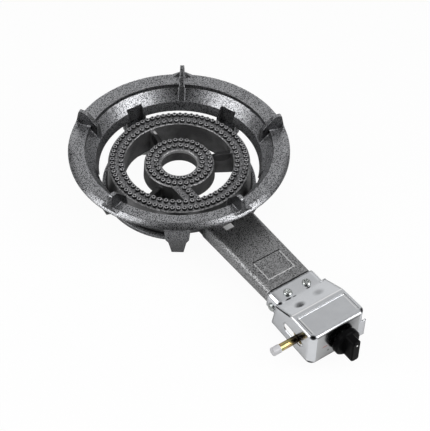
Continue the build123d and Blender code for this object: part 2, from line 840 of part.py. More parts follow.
arm_gasket.part.label = "arm_gasket"
export_step(arm_gasket.part, "parts/arm_gasket.step")

# Bolts from below that hold the arm's shoe to the head
with BuildPart() as arm_bolts:
    with BuildSketch(Plane.XY.offset(lower_ring_bottom)) as arm_bolt_shanks:
        with Locations((arm_bolt_x, arm_bolt_y), (-arm_bolt_x, arm_bolt_y)):
            Circle(arm_bolt_radius)
    extrude(amount=lower_ring_thickness + arm_bolt_grip)
    with BuildSketch(Plane.XY.offset(lower_ring_bottom)) as arm_bolt_hexes:
        with Locations((arm_bolt_x, arm_bolt_y), (-arm_bolt_x, arm_bolt_y)):
            RegularPolygon(arm_bolt_head_width / 2, 6, major_radius=False)
    extrude(amount=-arm_bolt_head_height)

arm_bolts.part.label = "arm_bolts"
export_step(arm_bolts.part, "parts/arm_bolts.step")


def cover_block(inset, rear_y, bottom):
    """The cover's bent outline as a block, smaller by the inset on its closed sides."""
    with BuildPart() as block:
        with BuildSketch(Plane.XY.offset(bottom)) as block_plan:
            with BuildLine() as plan_outline:
                Polyline(
                    (-cover_rear_half_width + inset, rear_y),
                    (cover_rear_half_width - inset, rear_y),
                    (cover_front_half_width - inset, cover_front_y + inset),
                    (-cover_front_half_width + inset, cover_front_y + inset),
                    close=True,
                )
            make_face()
            fillet(block_plan.vertices().group_by(Axis.Y)[0], cover_corner - inset)
        extrude(amount=cover_top - bottom)
        with BuildSketch(Plane.YZ) as block_side:
            with BuildLine() as side_outline:
                Polyline(
                    (rear_y, bottom),
                    (cover_front_y, bottom),
                    (cover_front_y, cover_top - inset),
                    (cover_bend_y, cover_top - inset),
                    (cover_slope_y, saddle_top - inset),
                    (rear_y, saddle_top - inset),
                    close=True,
                )
            make_face()
        extrude(amount=2 * cover_front_half_width, both=True, mode=Mode.INTERSECT)
        top_edges = block.edges().filter_by_position(Axis.Z, saddle_top - inset - edge_pick, cover_top)
        side_edges = top_edges.filter_by(lambda edge: abs(edge.center().X) > cover_rear_half_width / 2)
        front_edges = top_edges.filter_by(lambda edge: edge.center().Y < cover_front_y + inset + edge_pick)
        fillet(side_edges + front_edges, cover_edge_round - inset)
    return block.part


# Saddle strap of the cover, with a tab down each side of the arm
with BuildPart() as saddle:
    with BuildSketch(Plane.XZ.offset(-saddle_rear_y)) as saddle_section:
        with BuildLine() as saddle_outline:
            Polyline(
                (-saddle_half_width, tab_bottom),
                (saddle_half_width, tab_bottom),
                (saddle_half_width, saddle_top),
                (-saddle_half_width, saddle_top),
                close=True,
            )
        make_face()
        fillet(saddle_section.vertices().group_by(Axis.Y)[-1], saddle_corner)
    extrude(amount=saddle_rear_y - cover_slope_y)
    with BuildSketch(Plane.XZ.offset(-saddle_rear_y)) as saddle_inside:
        with BuildLine() as saddle_inside_outline:
            Polyline(
                (-saddle_half_width + sheet, tab_bottom - cut_margin),
                (saddle_half_width - sheet, tab_bottom - cut_margin),
                (saddle_half_width - sheet, saddle_top - sheet),
                (-saddle_half_width + sheet, saddle_top - sheet),
                close=True,
            )
        make_face()
        fillet(saddle_inside.vertices().group_by(Axis.Y)[-1], saddle_corner - sheet)
    extrude(amount=saddle_rear_y - cover_slope_y, mode=Mode.SUBTRACT)
    with Locations((0, cover_slope_y, tab_bottom)):
        Box(
            2 * cover_front_half_width,
            tab_front_y - cover_slope_y,
            notch_top - tab_bottom,
            align=(Align.CENTER, Align.MIN, Align.MIN),
            mode=Mode.SUBTRACT,
        )

# Cover: bent sheet box, open below and towards the arm
with BuildPart() as cover:
    add(cover_block(0.0, cover_rear_y, cover_bottom))
    add(cover_block(sheet, cover_rear_y + cut_margin, cover_bottom - cut_margin), mode=Mode.SUBTRACT)
    with BuildSketch(Plane.YZ) as rear_cut:
        with BuildLine() as rear_cut_outline:
            Polyline(
                (cover_rear_y + cut_margin, cover_side_foot),
                (cover_rear_y, cover_side_foot),
                (cover_side_back_y, cover_side_break),
                (cover_side_back_y, cover_top),
                (cover_rear_y + cut_margin, cover_top),
                close=True,
            )
        make_face()
    extrude(amount=2 * cover_front_half_width, both=True, mode=Mode.SUBTRACT)
    add(saddle.part)
    with Locations((0, (panel_back_y + panel_front_y) / 2, cover_top)):
        Box(2 * panel_half_width, panel_back_y - panel_front_y, 2 * panel_depth, mode=Mode.SUBTRACT)
    with BuildSketch(Plane.YZ) as slit_outline:
        with BuildLine() as slit_edges:
            Polyline(
                (cover_slope_y, saddle_top - sheet),
                (slit_end_y, slit_end),
                (slit_end_y, slit_end - slit_width),
                (cover_slope_y, saddle_top - sheet - slit_width),
                close=True,
            )
        make_face()
    extrude(amount=2 * cover_front_half_width, both=True, mode=Mode.SUBTRACT)
    with Locations((cover_front_half_width + lap_reach, cover_front_y, lap_bottom)):
        Box(
            cover_corner + 2 * lap_reach,
            sheet,
            lap_top - lap_bottom,
            align=(Align.MAX, Align.MIN, Align.MIN),
        )
    with BuildSketch(Plane.YZ) as slot_outline:
        with Locations((slot_y, valve_z)):
            SlotOverall(slot_length, slot_height)
    extrude(amount=-2 * cover_front_half_width, mode=Mode.SUBTRACT)
    with BuildSketch(Plane.XZ.offset(-cover_front_y)) as neck_hole:
        with Locations((valve_x, valve_z)):
            Circle(neck_hole_radius)
    extrude(amount=-2 * sheet, mode=Mode.SUBTRACT)
    with BuildSketch(Plane.XY.offset(saddle_top)) as top_screw_holes:
        with Locations((top_screw_x, top_screw_y), (-top_screw_x, top_screw_y)):
            Circle(screw_radius + bolt_play)
    extrude(amount=-2 * sheet, mode=Mode.SUBTRACT)
    with BuildSketch(Plane.YZ.offset(-cover_front_half_width)) as side_screw_holes:
        with Locations((side_screw_y, side_screw_z)):
            Circle(screw_radius + bolt_play)
    extrude(amount=2 * cover_front_half_width, mode=Mode.SUBTRACT)

cover.part.label = "cover"
export_step(cover.part, "parts/cover.step")

# One pan head screw, head upwards from the origin
with BuildPart() as screw:
    Cylinder(screw_head_radius, screw_head_height, align=(Align.CENTER, Align.CENTER, Align.MIN))
    chamfer(screw.edges().filter_by(GeomType.CIRCLE).group_by(Axis.Z)[-1], screw_edge)
    Cylinder(screw_radius, screw_reach, align=(Align.CENTER, Align.CENTER, Align.MAX))

# Cover screws: two through the saddle's top, one through each side tab
with BuildPart() as cover_screws:
    with Locations((top_screw_x, top_screw_y, saddle_top), (-top_screw_x, top_screw_y, saddle_top)):
        add(screw.part)
    with Locations(Location((saddle_half_width, side_screw_y, side_screw_z), (0, 90, 0))):
        add(screw.part)
    with Locations(Location((-saddle_half_width, side_screw_y, side_screw_z), (0, -90, 0))):
        add(screw.part)

cover_screws.part.label = "cover_screws"
export_step(cover_screws.part, "parts/cover_screws.step")

# Valve body: barrel, inlet boss and outlet boss, bored for plug and gas
with BuildPart() as valve_body:
    with BuildSketch(Plane.XZ.offset(-barrel_rear_y)) as barrel_outline:
        with Locations((valve_x, valve_z)):
            Circle(barrel_radius)
    extrude(amount=barrel_rear_y - bonnet_rear_y)
    with BuildSketch(Plane.YZ.offset(inlet_boss_end_x)) as inlet_boss_outline:
        with Locations((inlet_y, valve_z)):
            Circle(inlet_boss_radius)
    extrude(amount=valve_x - inlet_boss_end_x)
    with BuildSketch(Plane.YZ.offset(inlet_thread_end_x)) as inlet_thread_outline:
        with Locations((inlet_y, valve_z)):
            Circle(inlet_thread_radius)
    extrude(amount=inlet_boss_end_x - inlet_thread_end_x)
    with BuildSketch(Plane.XZ.offset(-outlet_rear_y)) as outlet_outline:
        with Locations((outlet_x, valve_z)):
            Circle(outlet_radius)
    extrude(amount=outlet_rear_y - barrel_rear_y + outlet_lap)
    with BuildSketch(Plane.XZ.offset(-plug_rear_y)) as plug_bore:
        with Locations((valve_x, valve_z)):
            Circle(plug_radius + running_play)
    extrude(amount=plug_rear_y - bonnet_rear_y, mode=Mode.SUBTRACT)
    with BuildSketch(Plane.YZ.offset(inlet_thread_end_x)) as inlet_bore:
        with Locations((inlet_y, valve_z)):
            Circle(pipe_bore_radius)
    extrude(amount=valve_x - inlet_thread_end_x, mode=Mode.SUBTRACT)
    with BuildSketch(Plane.YZ.offset(inlet_thread_end_x)) as pipe_socket:
        with Locations((inlet_y, valve_z)):
            Circle(pipe_radius + running_play)
    extrude(amount=pipe_socket_x - inlet_thread_end_x, mode=Mode.SUBTRACT)
    with BuildSketch(Plane.XZ.offset(-outlet_rear_y)) as outlet_bore:
        with Locations((outlet_x, valve_z)):
            Circle(outlet_bore_radius)
    extrude(amount=outlet_rear_y - plug_rear_y + outlet_lap, mode=Mode.SUBTRACT)
    with BuildSketch(Plane.XZ.offset(-outlet_rear_y)) as injector_thread:
        with Locations((outlet_x, valve_z)):
            Circle(injector_thread_radius + thread_play)
    extrude(amount=injector_thread_length + bolt_end_play, mode=Mode.SUBTRACT)
    with BuildSketch(Plane.XZ.offset(-bonnet_rear_y)) as bonnet_screw_threads:
        with Locations((valve_x, valve_z + bonnet_screw_offset), (valve_x, valve_z - bonnet_screw_offset)):
            Circle(bonnet_screw_radius + thread_play)
    extrude(amount=-bonnet_screw_grip - bolt_end_play, mode=Mode.SUBTRACT)

valve_body.part.label = "valve_body"
export_step(valve_body.part, "parts/valve_body.step")

# Valve plug with its slot for the spindle and a cross port
with BuildPart() as valve_plug:
    with BuildSketch(Plane.XZ.offset(-plug_rear_y + running_play)) as plug_outline:
        with Locations((valve_x, valve_z)):
            Circle(plug_radius)
    extrude(amount=plug_rear_y - plug_front_y - running_play)
    with BuildSketch(Plane.XZ.offset(-plug_front_y)) as plug_slot:
        with Locations((valve_x, valve_z)):
            Rectangle(tongue_width + 2 * tongue_play, plug_slot_height)
    extrude(amount=-tongue_depth - knob_push - seat_play, mode=Mode.SUBTRACT)
    with BuildSketch(Plane.XZ.offset(-plug_rear_y)) as plug_port:
        with Locations((valve_x, valve_z)):
            Circle(plug_port_radius)
    extrude(amount=plug_rear_y - plug_front_y, mode=Mode.SUBTRACT)

valve_plug.part.label = "valve_plug"
export_step(valve_plug.part, "parts/valve_plug.step")

# Spring between plug and spindle, drawn at its pressed length
with BuildPart() as plug_spring:
    with BuildSketch(Plane.XZ.offset(-plug_front_y)) as spring_outline:
        with Locations((valve_x, valve_z)):
            Circle(spring_radius)
            Circle(spring_bore_radius, mode=Mode.SUBTRACT)
    extrude(amount=spring_length)

plug_spring.part.label = "plug_spring"
export_step(plug_spring.part, "parts/plug_spring.step")

# Spindle: tongue in the plug, flange under the bonnet, square end in the knob
with BuildPart() as spindle:
    with BuildSketch(Plane.XZ.offset(-plug_front_y - tongue_depth)) as tongue_outline:
        with Locations((valve_x, valve_z)):
            Rectangle(tongue_width, tongue_height)
    extrude(amount=plug_front_y + tongue_depth - spindle_flange_front_y)
    with BuildSketch(Plane.XZ.offset(-spindle_flange_front_y - spindle_flange_thickness)) as spindle_flange:
        with Locations((valve_x, valve_z)):
            Circle(spindle_flange_radius)
    extrude(amount=spindle_flange_thickness)
    with BuildSketch(Plane.XZ.offset(-spindle_flange_front_y)) as spindle_shank:
        with Locations((valve_x, valve_z)):
            Circle(spindle_radius)
    extrude(amount=spindle_flange_front_y - knob_inside_y)
    with BuildSketch(Plane.XZ.offset(-knob_inside_y)) as spindle_square:
        with Locations((valve_x, valve_z)):
            Rectangle(drive_square, drive_square)
    extrude(amount=knob_inside_y - drive_end_y)

spindle.part.label = "spindle"
export_step(spindle.part, "parts/spindle.step")

# Bonnet: closes the barrel, guides the spindle and carries the threaded neck
with BuildPart() as bonnet:
    with BuildSketch(Plane.XZ.offset(-bonnet_rear_y)) as bonnet_outline:
        with Locations((valve_x, valve_z)):
            Circle(barrel_radius)
    extrude(amount=bonnet_rear_y - cover_back_y)
    with BuildSketch(Plane.XZ.offset(-cover_back_y)) as neck_outline:
        with Locations((valve_x, valve_z)):
            Circle(neck_radius)
    extrude(amount=cover_back_y - neck_end_y)
    with BuildSketch(Plane.XZ.offset(-bonnet_rear_y)) as bonnet_pocket:
        with Locations((valve_x, valve_z)):
            Circle(bonnet_pocket_radius)
    extrude(amount=bonnet_rear_y - bonnet_pocket_y, mode=Mode.SUBTRACT)
    with BuildSketch(Plane.XZ.offset(-bonnet_rear_y)) as spindle_bore:
        with Locations((valve_x, valve_z)):
            Circle(spindle_radius + running_play)
    extrude(amount=bonnet_rear_y - neck_end_y, mode=Mode.SUBTRACT)
    with BuildSketch(Plane.XZ.offset(-seal_rear_y)) as seal_seat:
        with Locations((valve_x, valve_z)):
            Circle(seal_radius)
    extrude(amount=seal_length, mode=Mode.SUBTRACT)
    with BuildSketch(Plane.XZ.offset(-cover_back_y)) as bonnet_screw_seats:
        with Locations((valve_x, valve_z + bonnet_screw_offset), (valve_x, valve_z - bonnet_screw_offset)):
            Circle(bonnet_screw_head_radius + end_play)
    extrude(amount=-bonnet_screw_head_height - seat_play, mode=Mode.SUBTRACT)
    with BuildSketch(Plane.XZ.offset(-cover_back_y)) as bonnet_screw_holes:
        with Locations((valve_x, valve_z + bonnet_screw_offset), (valve_x, valve_z - bonnet_screw_offset)):
            Circle(bonnet_screw_radius + bolt_play / 2)
    extrude(amount=cover_back_y - bonnet_rear_y, mode=Mode.SUBTRACT)

bonnet.part.label = "bonnet"
export_step(bonnet.part, "parts/bonnet.step")

# Screws that hold the bonnet on the barrel
with BuildPart() as bonnet_screws:
    with BuildSketch(Plane.XZ.offset(-bonnet_screw_seat_y)) as bonnet_screw_heads:
        with Locations((valve_x, valve_z + bonnet_screw_offset), (valve_x, valve_z - bonnet_screw_offset)):
            Circle(bonnet_screw_head_radius)
    extrude(amount=bonnet_screw_head_height)
    with BuildSketch(Plane.XZ.offset(-bonnet_rear_y - bonnet_screw_grip)) as bonnet_screw_shanks:
        with Locations((valve_x, valve_z + bonnet_screw_offset), (valve_x, valve_z - bonnet_screw_offset)):
            Circle(bonnet_screw_radius)
    extrude(amount=bonnet_rear_y + bonnet_screw_grip - bonnet_screw_seat_y)

bonnet_screws.part.label = "bonnet_screws"
export_step(bonnet_screws.part, "parts/bonnet_screws.step")

# Seal ring round the spindle at the neck's end
with BuildPart() as spindle_seal:
    with BuildSketch(Plane.XZ.offset(-seal_rear_y)) as seal_outline:
        with Locations((valve_x, valve_z)):
            Circle(seal_radius - running_play)
            Circle(spindle_radius + running_play, mode=Mode.SUBTRACT)
    extrude(amount=seal_length - end_play)

spindle_seal.part.label = "spindle_seal"
export_step(spindle_seal.part, "parts/spindle_seal.step")

# Washer and nut that clamp the neck to the cover's front
with BuildPart() as valve_washer:
    with BuildSketch(Plane.XZ.offset(-cover_front_y)) as valve_washer_outline:
        with Locations((valve_x, valve_z)):
            Circle(valve_washer_radius)
            Circle(neck_radius + bolt_play, mode=Mode.SUBTRACT)
    extrude(amount=washer_thickness)

valve_washer.part.label = "valve_washer"
export_step(valve_washer.part, "parts/valve_washer.step")

with BuildPart() as valve_nut:
    with BuildSketch(Plane.XZ.offset(-nut_rear_y)) as valve_nut_outline:
        with Locations((valve_x, valve_z)):
            RegularPolygon(valve_nut_width / 2, 6, major_radius=False)
            Circle(neck_radius + thread_play, mode=Mode.SUBTRACT)
    extrude(amount=valve_nut_height)

valve_nut.part.label = "valve_nut"
export_step(valve_nut.part, "parts/valve_nut.step")

# Injector: hexagon and nozzle that blow gas into the arm's mouth
with BuildPart() as injector:
    with BuildSketch(Plane.XZ.offset(-outlet_rear_y)) as injector_hex:
        with Locations((outlet_x, valve_z)):
            RegularPolygon(injector_width / 2, 6, major_radius=False)
    extrude(amount=-injector_length)
    with BuildSketch(Plane.XZ.offset(-outlet_rear_y - injector_length)) as nozzle_outline:
        with Locations((outlet_x, valve_z)):
            Circle(nozzle_radius)
    extrude(amount=-nozzle_length)
    with BuildSketch(Plane.XZ.offset(-outlet_rear_y)) as injector_stem:
        with Locations((outlet_x, valve_z)):
            Circle(injector_thread_radius)
    extrude(amount=injector_thread_length)
    with BuildSketch(Plane.XZ.offset(-outlet_rear_y + injector_thread_length)) as injector_bore:
        with Locations((outlet_x, valve_z)):
            Circle(jet_radius)
    extrude(amount=-injector_thread_length - injector_length - nozzle_length, mode=Mode.SUBTRACT)

injector.part.label = "injector"
export_step(injector.part, "parts/injector.step")

# Inlet pipe, its ferrule and the nut that clamps it
with BuildPart() as inlet_pipe:
    with BuildSketch(Plane.YZ.offset(pipe_socket_x)) as pipe_outline:
        with Locations((inlet_y, valve_z)):
            Circle(pipe_radius)
            Circle(pipe_bore_radius, mode=Mode.SUBTRACT)
    extrude(amount=pipe_end_x - pipe_socket_x)

inlet_pipe.part.label = "inlet_pipe"
export_step(inlet_pipe.part, "parts/inlet_pipe.step")

with BuildPart() as ferrule:
    with BuildSketch(Plane.YZ.offset(inlet_thread_end_x)) as ferrule_outline:
        with Locations((inlet_y, valve_z)):
            Circle(ferrule_radius)
            Circle(pipe_radius + running_play, mode=Mode.SUBTRACT)
    extrude(amount=-ferrule_length)

ferrule.part.label = "ferrule"
export_step(ferrule.part, "parts/ferrule.step")

with BuildPart() as inlet_nut:
    with BuildSketch(Plane.YZ.offset(inlet_nut_back_x)) as inlet_nut_outline:
        with Locations((inlet_y, valve_z)):
            RegularPolygon(inlet_nut_width / 2, 6, major_radius=False)
    extrude(amount=inlet_nut_front_x - inlet_nut_back_x)
    with BuildSketch(Plane.YZ.offset(inlet_nut_back_x)) as inlet_nut_thread:
        with Locations((inlet_y, valve_z)):
            Circle(inlet_thread_radius + thread_play)
    extrude(amount=inlet_nut_step_x - inlet_nut_back_x, mode=Mode.SUBTRACT)
    with BuildSketch(Plane.YZ.offset(inlet_nut_back_x)) as inlet_nut_bore:
        with Locations((inlet_y, valve_z)):
            Circle(pipe_radius + bolt_play)
    extrude(amount=inlet_nut_front_x - inlet_nut_back_x, mode=Mode.SUBTRACT)

inlet_nut.part.label = "inlet_nut"
export_step(inlet_nut.part, "parts/inlet_nut.step")

# Protective cap pushed over the pipe's end
with BuildPart() as pipe_cap:
    with BuildSketch(Plane.YZ.offset(cap_start_x)) as cap_outline:
        with Locations((inlet_y, valve_z)):
            Circle(pipe_radius + cap_play + cap_wall)
    extrude(amount=cap_end_x - cap_start_x)
    with BuildSketch(Plane.YZ.offset(cap_start_x)) as cap_bore:
        with Locations((inlet_y, valve_z)):
            Circle(pipe_radius + cap_play)
    extrude(amount=pipe_end_x - end_play - cap_start_x, mode=Mode.SUBTRACT)

pipe_cap.part.label = "pipe_cap"
export_step(pipe_cap.part, "parts/pipe_cap.step")

# Knob: hollow disc with a grip bar and a square socket for the spindle
with BuildPart() as knob:
    with BuildSketch(Plane.XZ.offset(-knob_rim_y)) as knob_disc:
        with Locations((valve_x, valve_z)):
            Circle(knob_radius)
    extrude(amount=knob_rim_y - knob_face_y)
    chamfer(knob.edges().group_by(Axis.Y)[0], knob_edge)
    with BuildSketch(Plane.XZ.offset(-knob_rim_y)) as knob_hollow:
        with Locations((valve_x, valve_z)):
            Circle(knob_radius - knob_skirt_wall)
    extrude(amount=knob_rim_y - knob_inside_y, mode=Mode.SUBTRACT)
    with BuildSketch(Plane.XZ.offset(-knob_face_y)) as knob_bar:
        with Locations((valve_x, valve_z)):
            Rectangle(knob_bar_width, knob_bar_length)
        fillet(knob_bar.vertices(), knob_bar_width / 3)
    extrude(amount=knob_face_y - knob_bar_front_y)
    chamfer(knob.edges().group_by(Axis.Y)[0], knob_bar_edge)
    with BuildSketch(Plane.XZ.offset(-knob_inside_y)) as knob_socket:
        with Locations((valve_x, valve_z)):
            Rectangle(drive_square + 2 * drive_play, drive_square + 2 * drive_play)
    extrude(amount=knob_inside_y - drive_end_y + seat_play, mode=Mode.SUBTRACT)

knob.part.label = "knob"
export_step(knob.part, "parts/knob.step")
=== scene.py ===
# %% [markdown]
# # A cast iron gas stove, dressed for its portrait
#
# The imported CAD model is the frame: it fixes every size and every joint.
# This lesson adds what a solid model leaves out: hammered paint, cast grain,
# drilled flame ports, crossed screw heads, plated sheet and studio light.
# Blender's lengths are metres, +Z is up, and the burner's axis is the Z axis.
# Sizes are written in millimetres here, and MM turns them into metres.

# %% Load the frame
import functools
import math

import bpy
import numpy as np
from mathutils import Matrix


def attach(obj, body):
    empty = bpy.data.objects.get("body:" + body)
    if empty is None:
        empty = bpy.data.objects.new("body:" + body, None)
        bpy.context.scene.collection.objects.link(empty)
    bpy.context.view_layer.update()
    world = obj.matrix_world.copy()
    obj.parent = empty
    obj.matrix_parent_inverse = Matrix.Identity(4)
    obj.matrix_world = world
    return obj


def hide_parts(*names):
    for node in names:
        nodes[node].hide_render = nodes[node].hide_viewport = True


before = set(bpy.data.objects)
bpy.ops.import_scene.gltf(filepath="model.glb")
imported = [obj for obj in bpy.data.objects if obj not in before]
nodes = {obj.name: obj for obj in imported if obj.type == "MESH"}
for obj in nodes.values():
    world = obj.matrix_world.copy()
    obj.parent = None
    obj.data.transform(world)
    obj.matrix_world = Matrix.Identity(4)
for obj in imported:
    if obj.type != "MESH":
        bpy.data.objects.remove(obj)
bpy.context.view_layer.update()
MM = 0.001

# %% [markdown]
# ## Step 1: shader helpers
#
# A finish can be painted as an image, but nodes stay sharp at any distance and
# need no file. `add` makes a node, and `fill` gives its sockets a value or a link.
# The others each stand for a node or two, so that a finish reads like a recipe.

# %% Nodes and sums


def fill(tree, node, sockets):
    """Each named socket of a node gets a constant or a link from another node's output."""
    for key, value in sockets.items():
        if isinstance(value, bpy.types.NodeSocket):
            tree.links.new(value, node.inputs[key])
        else:
            node.inputs[key].default_value = value
    return node


def add(tree, kind, sockets, **settings):
    """One shader node with its settings and its sockets."""
    made = tree.nodes.new(kind)
    for key, value in settings.items():
        setattr(made, key, value)
    return fill(tree, made, sockets)


def calc(tree, operation, *values):
    """Output of one Math node, each value a number or a link."""
    sockets = dict(enumerate(values))
    return add(tree, "ShaderNodeMath", sockets, operation=operation).outputs[0]


def vector(tree, operation, *values, **sockets):
    """Output of one Vector Math node: a number for a length or a dot product, else a vector."""
    sockets.update(enumerate(values))
    made = add(tree, "ShaderNodeVectorMath", sockets, operation=operation)
    return made.outputs["Value" if operation in ("LENGTH", "DOT_PRODUCT") else "Vector"]


def split(tree, whole):
    """The X, Y and Z parts of a vector."""
    outputs = add(tree, "ShaderNodeSeparateXYZ", {"Vector": whole}).outputs
    return outputs["X"], outputs["Y"], outputs["Z"]


def remap(tree, value, start, end, low=0.0, high=1.0, **settings):
    """Value that runs from low to high while the input runs from start to end."""
    sockets = {"Value": value, "From Min": start, "From Max": end, "To Min": low, "To Max": high}
    return add(tree, "ShaderNodeMapRange", sockets, **settings).outputs["Result"]


def remap_mm(tree, value, start, end, low=0.0, high=1.0):
    """The same for an input in metres, with start and end in millimetres."""
    return remap(tree, value, start * MM, end * MM, low, high)


def mix(tree, kind, factor, base, other):
    """Number, vector or colour that runs from base to other as the factor runs from 0 to 1."""
    sockets = {"Factor": factor, "A": base, "B": other}
    return add(tree, "ShaderNodeMix", sockets, data_type=kind).outputs["Result"]


print("helpers for nodes:", [f.__name__ for f in (fill, add, calc, vector, split, remap, mix)])

# %% Masks and tones


def near(tree, value, middle, half):
    """1 where a length lies within half of the middle, both in millimetres, and 0 elsewhere."""
    return calc(tree, "COMPARE", value, middle * MM, half * MM)


def above(tree, value, limit):
    """1 where a length is greater than a limit in millimetres, and 0 elsewhere."""
    return calc(tree, "GREATER_THAN", value, limit * MM)


def under(tree, value, limit):
    """1 where a length is less than a limit in millimetres, and 0 elsewhere."""
    return calc(tree, "LESS_THAN", value, limit * MM)


def all_of(tree, *masks):
    """Product of masks."""
    return functools.reduce(functools.partial(calc, tree, "MULTIPLY"), masks)


def any_of(tree, *masks):
    """Greatest of masks."""
    return functools.reduce(functools.partial(calc, tree, "MAXIMUM"), masks)


def tint(tree, factor, base, other):
    """Colour that runs from base to other as the factor runs from 0 to 1."""
    colours = [c if isinstance(c, bpy.types.NodeSocket) else (*c, 1) for c in (base, other)]
    return mix(tree, "RGBA", factor, *colours)


def overlay(tree, colour, *layers):
    """Colour with tones laid over it one after another, each where its mask is 1."""
    for mask, tone in layers:
        colour = tint(tree, mask, colour, tone)
    return colour


print("helpers for masks and tones:", [f.__name__ for f in (near, above, under, tint, overlay)])

# %% Noise, normals and materials


def noise(tree, position, scale, detail=2.0, roughness=0.5):
    """Noise between 0 and 1, with scale cells in a metre."""
    sockets = {"Vector": position, "Scale": scale, "Detail": detail, "Roughness": roughness}
    return add(tree, "ShaderNodeTexNoise", sockets).outputs["Fac"]


def bevel(tree, radius, samples):
    """Normal that looks rounded at sharp edges; the radius is a number of metres or a link."""
    return add(tree, "ShaderNodeBevel", {"Radius": radius}, samples=samples).outputs["Normal"]


def bump(tree, height, strength, depth, normal, **settings):
    """Normal tilted by a height whose step from 0 to 1 is depth millimetres."""
    sockets = {"Height": height, "Strength": strength, "Distance": depth * MM, "Normal": normal}
    return add(tree, "ShaderNodeBump", sockets, **settings).outputs["Normal"]


def new_material(name):
    """A material with a Principled shader, its tree and the object position."""
    material = bpy.data.materials.new(name)
    material.use_nodes = True
    tree = material.node_tree
    shader = tree.nodes["Principled BSDF"]
    position = tree.nodes.new("ShaderNodeTexCoord").outputs["Object"]
    return material, tree, shader, position


print("helpers for materials:", [f.__name__ for f in (noise, bevel, bump, new_material)])

# %% [markdown]
# ## Step 2: shared patterns
#
# The stand and the arm wear hammered paint, which pulls its flakes into islands:
# a light field with fine dark veins, about a millimetre across, and dimples that
# catch the light. A photographed texture would repeat, so noise gives the veins
# and smooth Voronoi cells the dimples. The noise is turned against the axes,
# because a level face along the noise's own grid shows a fainter pattern.
# Bare castings show a softer grain from the sand of the mould.
# `round_mark` is a soft spot of any size: prints use it, and so do painted
# shade, painted shadows, painted reflections and painted highlights.
# Patterns that several materials share are node groups: they take a position and
# give back masks and heights, and each material keeps its own shader.

# %% Groups
VECTOR = "NodeSocketVector"
FLOAT = "NodeSocketFloat"


def new_group(name, inputs, outputs):
    """An empty node group with named sockets, the sockets that come in and its output node."""
    tree = bpy.data.node_groups.new(name, "ShaderNodeTree")
    for label, kind in inputs.items():
        tree.interface.new_socket(label, in_out="INPUT", socket_type=kind)
    for label in outputs:
        tree.interface.new_socket(label, in_out="OUTPUT", socket_type=FLOAT)
    entry = tree.nodes.new("NodeGroupInput")
    return tree, entry.outputs, tree.nodes.new("NodeGroupOutput")


def use_group(tree, group, sockets):
    """The outputs of a group node for a shared pattern."""
    return add(tree, "ShaderNodeGroup", sockets, node_tree=group).outputs


def off_axis(tree, position):
    """Position turned against the axes, so that no level face follows the noise's grid."""
    sockets = {"Vector": position, "Rotation": (0.6, 0.4, 0.2)}
    return add(tree, "ShaderNodeMapping", sockets).outputs["Vector"]


print("helpers for groups:", [f.__name__ for f in (new_group, use_group, off_axis)])

# %% Hammered paint and cast grain
hammer, entry, result = new_group("hammer_flecks", {"Position": VECTOR}, ("Fleck", "Height"))
veins = noise(hammer, off_axis(hammer, entry["Position"]), 980.0, 1.0)
patches = noise(hammer, entry["Position"], 70.0, 1.0)
islands = calc(hammer, "MULTIPLY_ADD", patches, 0.06, veins)
cells = {"Vector": entry["Position"], "Scale": 520.0, "Smoothness": 0.6}
dimples = add(hammer, "ShaderNodeTexVoronoi", cells, feature="SMOOTH_F1").outputs["Distance"]
paint_pattern = {
    "Fleck": remap(hammer, islands, 0.42, 0.58, interpolation_type="SMOOTHSTEP"),
    "Height": calc(hammer, "MULTIPLY_ADD", dimples, 0.8, veins),
}
fill(hammer, result, paint_pattern)

grain, entry, result = new_group("cast_grain", {"Position": VECTOR}, ("Grain", "Cloud"))
sand = noise(grain, off_axis(grain, entry["Position"]), 620.0, 2.0, 0.7)
sand_pattern = {
    "Grain": remap(grain, sand, 0.36, 0.64),
    "Cloud": noise(grain, entry["Position"], 55.0),
}
fill(grain, result, sand_pattern)
print("patterns:", hammer.name, list(paint_pattern), "and", grain.name, list(sand_pattern))

# %% Soft marks
spot_inputs = {"Position": VECTOR, "Centre": VECTOR, "Size": VECTOR, "Core": FLOAT}
spot, entry, result = new_group("round_mark", spot_inputs, ("Mask",))
from_centre = vector(spot, "SUBTRACT", entry["Position"], entry["Centre"])
share_out = vector(spot, "LENGTH", vector(spot, "DIVIDE", from_centre, entry["Size"]))
soft = remap(spot, share_out, 1.0, entry["Core"], interpolation_type="SMOOTHSTEP")
fill(spot, result, {"Mask": soft})


def mark(tree, position, centre, size, core):
    """Mask of a soft ellipsoid with its centre and half axes in millimetres.

    It is 1 within the core share of the half axes and falls to 0 at their ends.
    """
    sockets = {
        "Position": position,
        "Centre": [MM * v for v in centre],
        "Size": [MM * v for v in size],
        "Core": core,
    }
    return use_group(tree, spot, sockets)["Mask"]


print("mark:", spot.name, list(spot_inputs))

# %% [markdown]
# ## Step 3: materials
#
# Each finish mixes two or three tones by its pattern and tilts the normal by
# the pattern's height. The Bevel node rounds the look of sharp CAD edges, which
# leaves the CAD meshes as they are. Numbers that hold all over sit on the shader
# itself. `lay_paint` darkens the tone on upright faces and undersides: painted
# shade.

# %% Paint and iron


def hammer_paint(name, dark, light, roughness):
    """Glossy metal paint whose tone runs from vein to fleck."""
    material, tree, shader, position = new_material(name)
    pattern = use_group(tree, hammer, {"Position": position})
    colour = tint(tree, pattern["Fleck"], dark, light)
    fill(tree, shader, {"Metallic": 0.9, "Roughness": roughness})
    return material, tree, shader, position, pattern["Height"], colour


def lay_paint(tree, shader, dimple, colour, normal, side_share, under_share):
    """Dimples on a given normal, and the paint's tone by where that normal points.

    Painted shade: upright faces keep side_share of the tone, and undersides under_share of that.
    """
    # painted shade: the tone falls on upright faces, and falls further on undersides
    upward = split(tree, normal)[2]
    side = remap(tree, upward, 0.15, 0.85, side_share)
    below = remap(tree, upward, -0.6, -0.25, under_share)
    fill(tree, shader, {"Normal": bump(tree, dimple, 0.3, 0.3, normal)})
    return vector(tree, "SCALE", colour, Scale=all_of(tree, side, below))


